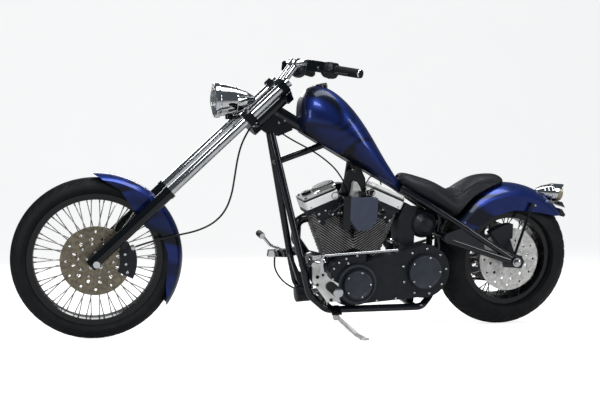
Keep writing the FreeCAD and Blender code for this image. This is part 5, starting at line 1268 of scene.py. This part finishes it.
@dataclass
class Steering:
    """The grips' ribs and caps, clamp bolts, fork caps, lamp ring, reflector and caliper bolts.

    The bar's end and bend are those of its left half, in the fork's mm.
    """

    bar_end: Point = (-130.0, 370.0, 1291.0)
    bar_bend: Point = (-30.0, 235.0, 1217.0)
    grip: float = 110.0
    leg_y: float = 105.0

    def build(self) -> None:
        """Make every piece that steers."""
        self._grips()
        self._master_screws()
        self._clamps()
        self._lamp()
        self._caliper()

    def _bar(self, side: int) -> tuple[Array, Array]:
        """Return one end of the bar and the way out along its grip, in the fork's mm."""
        end = np.array(self.bar_end) * (1, side, 1)
        return end, end - np.array(self.bar_bend) * (1, side, 1)

    def _grips(self) -> None:
        """Make the ribbed sleeves and the bright end caps."""
        ribs, caps = Shape("grip_ribs"), Shape("grip_caps")
        for side in (-1, 1):
            place = FORK.aimed(*self._bar(side))
            profile = [(0.5 - self.grip, 17.6), (1 - self.grip, 20.0), (5 - self.grip, 20.0)]
            profile += [(8 - self.grip + step * 5.0 + past, radius) for step in range(19)
                        for past, radius in ((0, 17.7), (1.0, 18.6), (3.4, 18.6), (4.0, 17.7))]
            ribs.turned(place, profile + [(-3.5, 18.6), (-1.5, 18.6), (-0.6, 17.6)], 40)
            caps.turned(place, [(-0.4, 17.9), (2.4, 17.9), (4.0, 16.9), (7.6, 15.4), (8.0, 12.0), (6.6, 9.0),
                                (6.6, 0.4)], 36)
        ribs.piece(RUBBER, "steering", crease=30)
        caps.piece(CHROME, "steering")

    def _master_screws(self) -> None:
        """Make the lids' screws, the lever's pivots, the clamps' bolts and the round switch pods."""
        shape, pods = Shape("hand_control_screws"), Shape("switch_pods")
        for side in (-1, 1):
            end, along = self._bar(side)
            along = unit(along)
            centre = end - along * (self.grip + 84.0)
            ahead = square_to(np.array([math.cos(RAKE), 0.0, -math.sin(RAKE)]), along)
            upward = square_to(np.array([math.sin(RAKE), 0.0, math.cos(RAKE)]), along)
            lid = [centre + ahead * 16 + along * shift + upward * 26.6 for shift in (-30, 30)]
            shape.screws(FORK, lid, upward, 3.4, 1.8)
            shape.bolt(FORK.aimed(centre + ahead * 34 + along * 16 + upward * 1.5, upward), 5.0, 5.0)
            clamp = [centre - ahead * 21.5 + along * shift for shift in (-9, 9)]
            shape.screws(FORK, clamp, -ahead, 3.6, 2.6)
            place = FORK.aimed(end - upward * 5.5, along)
            pods.turned(place, [(-172, 20), (-168, 27), (-160, 31.5), (-148, 33), (-124, 33), (-114, 30),
                                (-110.5, 24)], 40)
            pods.turned(place, [(-142, 33.2), (-141, 34.4), (-136, 34.4), (-135, 33.2)], 40)
            for shift, across in ((-154, -10), (-130, -12), (-130, 12)):
                at = end + along * shift - ahead * 30 + upward * across
                pods.turned(FORK.aimed(at, -ahead), [(0, 7), (5, 7), (6.5, 5.4), (6.8, 0.4)], 20)
        shape.piece(CHROME, "steering")
        pods.piece(BLACK_SATIN, "steering")

    def _clamps(self) -> None:
        """Make the pinch bolts of both clamps, the caps on the tubes and the stem's nut."""
        shape = Shape("clamp_bolts")
        for side in (-1, 1):
            pinch = [(-34.0, side * self.leg_y, height) for height in (862.0, 880.0, 1058.0, 1072.0)]
            shape.screws(FORK, pinch, (-1, 0, 0), 5.0, 5.5)
            cap = FORK.aimed((0, side * self.leg_y, 1090.0), (0, 0, 1))
            shape.turned(cap, [(-2, 17), (1.5, 17), (2.5, 15.5)])
            shape.turned(cap, [(2.0, 12.5), (8.0, 12.5), (9.0, 11.0)], 6)
            riser = [(40.0, side * 50.0 + shift, 1191.0) for shift in (-8, 8)]
            shape.screws(FORK, riser, (1, 0, 0), 3.8, 3.4)
        nut = FORK.aimed((-55.0, 0.0, 1080.0), (0, 0, 1))
        shape.turned(nut, [(0, 24), (3, 24), (3, 20), (5, 19)], 36)
        shape.turned(nut, [(4.5, 16), (13, 16), (15, 13), (16, 0.4)], 6)
        shape.piece(CHROME, "steering")

    def _lamp(self) -> None:
        """Make the lamp's reflector, bulb, rim ring and shell seam."""
        turn = math.radians(92)
        face = MACHINE.aimed((-492.0, 0.0, 1021.0), (math.sin(turn), 0, math.cos(turn)))
        bowl, ring = Shape("lamp_reflector"), Shape("lamp_rings")
        bowl.turned(face, [(-13.2, 0.5), (-13.0, 16), (-11.5, 30), (-8.0, 44), (-3.2, 60.5)], 64)
        bowl.turned(face, [(-12.6, 12), (-7, 12), (-3.5, 9), (-2.5, 0.4)])
        ring.turned(face, [(-22, 73.6), (-19, 75.2), (-3, 75.2), (0.6, 72.6), (1.6, 69.6), (0.4, 67.2)], 80)
        ring.turned(face, [(-97, 55.4), (-95, 56.4), (-93, 55.9)], 64)
        bowl.piece(LAMP_SILVER, "steering")
        ring.piece(CHROME, "steering")

    def _caliper(self) -> None:
        """Make the front caliper's bolts, its hose fitting and the axle's nuts."""
        shape = Shape("front_caliper_bolts")
        mounts = [(x, 78.7, FRONT_AXLE_Z + up) for x, up in ((-118, 30), (-122, -12), (-128, -46))]
        shape.screws(MACHINE, mounts, (0, 1, 0), 6.0, 5.0)
        banjo = FORK.aimed((-72, 76.0, 149), (0, 1, 0))
        shape.turned(banjo, [(0, 9.5), (4, 9.5), (4, 7.5), (7, 7.5)], 24)
        shape.turned(banjo, [(7, 6.5), (12, 6.5), (13, 5.5)], 6)
        pinch = [(20.0, side * self.leg_y, height) for side in (-1, 1) for height in (42.0, 18.0)]
        shape.screws(FORK, pinch, (1, 0, 0), 4.0, 4.0)
        shape.piece(CHROME, "steering")


@dataclass
class Chassis:
    """Frame caps, exhaust tips, belt teeth, peg rubbers, the tail's trims and the tank's nose and filler.

    The strut is the x and z of the rear fender's bolts, and the pulleys are the belt's radii on them.
    """

    nose_half: float = 78.0
    strut: Span = (-WHEELBASE - 80.0, REAR_AXLE_Z + 258.0)
    pulleys: Span = (140.3, 58.0)
    teeth: int = 46
    knurls: int = 72

    def build(self) -> None:
        """Make every piece of the chassis."""
        self._frame_caps()
        self._exhaust_tips()
        self._belt_teeth()
        self._pegs()
        self._tail()
        self._filler()
        self._nose()

    def _frame_caps(self) -> None:
        """Make the bright caps and nuts along the frame."""
        shape = Shape("frame_caps")
        for x, y, z, radius in ((-1608, 140, 446, 17), (-1546, 132, 440, 9), (-1281, 100, 420, 12)):
            cap = MACHINE.aimed((x, y, z), (0, 1, 0))
            shape.turned(cap, [(-26, radius * 0.7), (2, radius * 0.7), (2, radius), (7, radius),
                               (11, radius * 0.72), (12, radius * 0.3), (11.4, 0.4)], 28)
        x, z = self.strut
        for side in (-1, 1):
            out = (0, side, 0)
            shape.screws(MACHINE, ((x, side * 126.0, z), (x - 17, side * 126.0, z - 2)), out, 5.0, 4.0)
            nut = MACHINE.aimed((-WHEELBASE, side * 174.0, REAR_AXLE_Z), out)
            shape.turned(nut, [(-1, 15), (7, 15), (9, 12), (10, 0.4)], 6)
            bracket = [(ahead, side * 158.0, up)
                       for ahead, up in ((-1008, 180), (-1018, 206), (-968, 290), (-936, 350))]
            shape.screws(MACHINE, bracket, out, 5.0, 4.0)
        neck = ((-766, 18.0, 968), (-774, 18.0, 930), (-800, 18.0, 940))
        shape.screws(MACHINE, neck, (0, 1, 0), 5.5, 4.0)
        shape.piece(CHROME)
        gusset = Shape("neck_gusset")
        gusset.plate(MACHINE, ((-698, 984), (-791, 995), (-881, 944), (-883, 897), (-824, 909), (-767, 882),
                               (-727, 881), (-690, 905)), -18, 18)
        gusset.piece(FRAME_BLUE)

    def _exhaust_tips(self) -> None:
        """Make the bright tips, a dark disc in each mouth that paints the shade inside the pipe, and the heat
        shields' clamps.
        """
        tips, dark = Shape("exhaust_tips"), Shape("exhaust_bore_shade")
        for inner, end in (((-1400, -192, 256), (-1830, -205, 262)),
                           ((-1500, -193, 312), (-1880, -205, 332))):
            away = np.array(end, dtype=float) - np.array(inner, dtype=float)
            place = MACHINE.aimed(end, away)
            tips.turned(place, [(-46, 22.3), (-44, 23.4), (-2, 23.4), (0.2, 22.6), (0.2, 19.5)], 40)
            # painted shade: a dark disc closes each pipe's mouth where its hollow would lie in shade
            dark.turned(place, [(-0.1, 19.7), (0.3, 19.7)], 40)
            for share in (0.22, 0.62):
                band = MACHINE.aimed(np.array(inner) + away * share, away)
                tips.turned(band, [(-7, 22.3), (-6, 23.6), (6, 23.6), (7, 22.3)], 36)
        tips.piece(CHROME)
        dark.piece(CASE_ALLOY)

    def _belt_teeth(self) -> None:
        """Make the teeth inside both runs of the drive belt."""
        shape = Shape("belt_teeth")
        rear = np.array([-WHEELBASE, REAR_AXLE_Z])
        front = np.array([-1425.0, 286.0])
        span = front - rear
        slope = math.atan2(span[1], span[0])
        rear_radius, front_radius = self.pulleys
        lift = math.acos((rear_radius - front_radius) / float(np.linalg.norm(span)))
        rows = np.array([[(-half, -12.4, out), (half, -12.4, out), (half, 12.4, out), (-half, 12.4, out)]
                         for half, out in ((2.6, -1.2), (3.4, 1.6))])
        for turn in (lift, -lift):
            way = np.array([math.cos(slope + turn), math.sin(slope + turn)])
            first, last = rear + way * rear_radius, front + way * front_radius
            for share in np.linspace(0.03, 0.97, self.teeth):
                at = first + (last - first) * share - way * 1.4
                shape.grid(MACHINE.aimed((at[0], -122.0, at[1]), (way[0], 0, way[1])).points(rows))
        shape.piece(BELT)

    def _pegs(self) -> None:
        """Make the rubber rings of both pegs and both toe pads."""
        shape, caps = Shape("peg_rubbers"), Shape("peg_caps")
        for side in (-1, 1):
            peg = MACHINE.aimed((-985, side * 176.0, 238), (0, side, 0))
            shape.ribbed(peg, 8, 19.2, 2.4, 32)
            caps.turned(peg, [(117, 19.4), (119, 21.0), (123.5, 20.4), (124.2, 18.8)])
        shape.ribbed(MACHINE.aimed((-884, 210.0, 352), (0, 1, 0)), 4, 12.2, 2, 28)
        shape.ribbed(MACHINE.aimed((-764, -224.0, 394), (0, -1, 0)), 5, 13.2, 2, 28)
        shape.piece(RUBBER, crease=30)
        caps.piece(CHROME)

    def _tail(self) -> None:
        """Make the tail lamp's rings, its arched visor and the black tabs under the fender's tip."""
        turn = math.radians(-93)
        place = MACHINE.aimed((-2026.0, 0.0, 628.0), (math.sin(turn), 0, math.cos(turn)))
        shape = Shape("tail_rings")
        shape.turned(place, [(92, 40.2), (94, 41.6), (101, 41.6), (103, 39.4), (103, 37.6)], 56)
        for at, radius in ((40, 30.0), (58, 34.4), (76, 38.6)):
            shape.turned(place, [(at - 2, radius), (at, radius + 1.4), (at + 2, radius + 0.8)], 48)
        rows = []
        for angle in np.radians(np.linspace(-84, 84, 43)):
            reach = 98.0 + 50.0 * max(math.cos(angle), 0.0) ** 1.2
            across, down = math.sin(angle), -math.cos(angle)
            rows.append([(r * across, r * down, t) for r, t in
                         ((42.6, 84.0), (42.6, reach - 6), (41.6, reach), (40.2, reach), (40.2, 84.0))])
        shape.grid(place.points(np.array(rows)))
        shape.piece(CHROME)
        tabs = Shape("fender_tabs")
        tabs.plate(MACHINE, ((-2128, 586), (-2150, 583), (-2166, 556), (-2150, 563), (-2140, 572)), -45, 45)
        tabs.plate(MACHINE, ((-2138, 553), (-2152, 548), (-2171, 522), (-2163, 512), (-2146, 516),
                             (-2140, 530)), -45, 45)
        tabs.piece(BLACK_GLOSS)

    def _filler(self) -> None:
        """Make the knurled filler cap's edge and the small vent beside it."""
        shape = Shape("filler_knurl")
        place = MACHINE.aimed((-968.6, 0.0, 1075.0), (10, 0, 43))
        angles = np.linspace(0, 2 * np.pi, self.knurls, endpoint=False)
        radii = 25.4 + 0.9 * (np.arange(self.knurls) % 2)
        rows = [np.stack([r * np.cos(angles), r * np.sin(angles), np.full(self.knurls, z)], axis=-1)
                for z, r in ((10.0, radii), (24.0, radii), (27.0, radii - 3.0))]
        shape.grid(place.points(np.array(rows)))
        vent = MACHINE.aimed((-930, 0, 1084.0), (-8, 0, 40))
        shape.turned(vent, [(-6, 11), (6, 11), (9, 8), (9.5, 0.4)], 28)
        shape.piece(BLACK_GLOSS)

    def _nose(self) -> None:
        """Make the tank's rounded front end, in a darker copy of its blue paint that paints the shade on its
        front.
        """
        nose = Shape("tank_nose")
        angles = np.linspace(0, 2 * np.pi, 64, endpoint=False)
        rows = []
        for turn in np.radians((0, 0, 14, 28, 42, 56, 70, 82)):
            share = math.cos(turn) ** 0.8 * 0.985
            across = np.sign(np.cos(angles)) * np.abs(np.cos(angles)) ** 0.62 * 66.0 * share
            height = np.sign(np.sin(angles)) * np.abs(np.sin(angles)) ** 0.62 * self.nose_half * share
            rows.append(np.stack([np.full(64, -877.0 + 15.0 * math.sin(turn)), across,
                                  1045.0 - self.nose_half + height - 3.0 * math.sin(turn)], axis=-1))
        rows[0][:, 0] -= 8.0
        nose.grid(MACHINE.points(np.array(rows)))
        nose.piece(SHADED_NOSE_BLUE)


def main() -> None:
    """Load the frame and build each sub-assembly in order."""
    logging.basicConfig(level=logging.INFO, format="%(name)s: %(message)s")
    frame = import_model()
    Studio().build()
    Cords().build()
    FrameFinishes().dress(frame)
    Seat(frame["nodes"]["seat"]).build()
    Engine().build()
    Steering().build()
    Chassis().build()
    Wheel("front", FRONT_WHEEL, radius=345.0, crown=45.0, bead=267.0, rim_width=62.0, rim_bore=252.0,
          spokes_per_row=15, grooves=46, disc_face=55.6, hub=(34.0, 30.0)).build()
    Wheel("rear", REAR_WHEEL, radius=323.0, crown=100.0, bead=203.0, rim_width=140.0, rim_bore=184.0,
          spokes_per_row=12, grooves=38, disc_face=91.6, hub=(48.0, 62.0)).build()


if __name__ == "__main__":
    main()
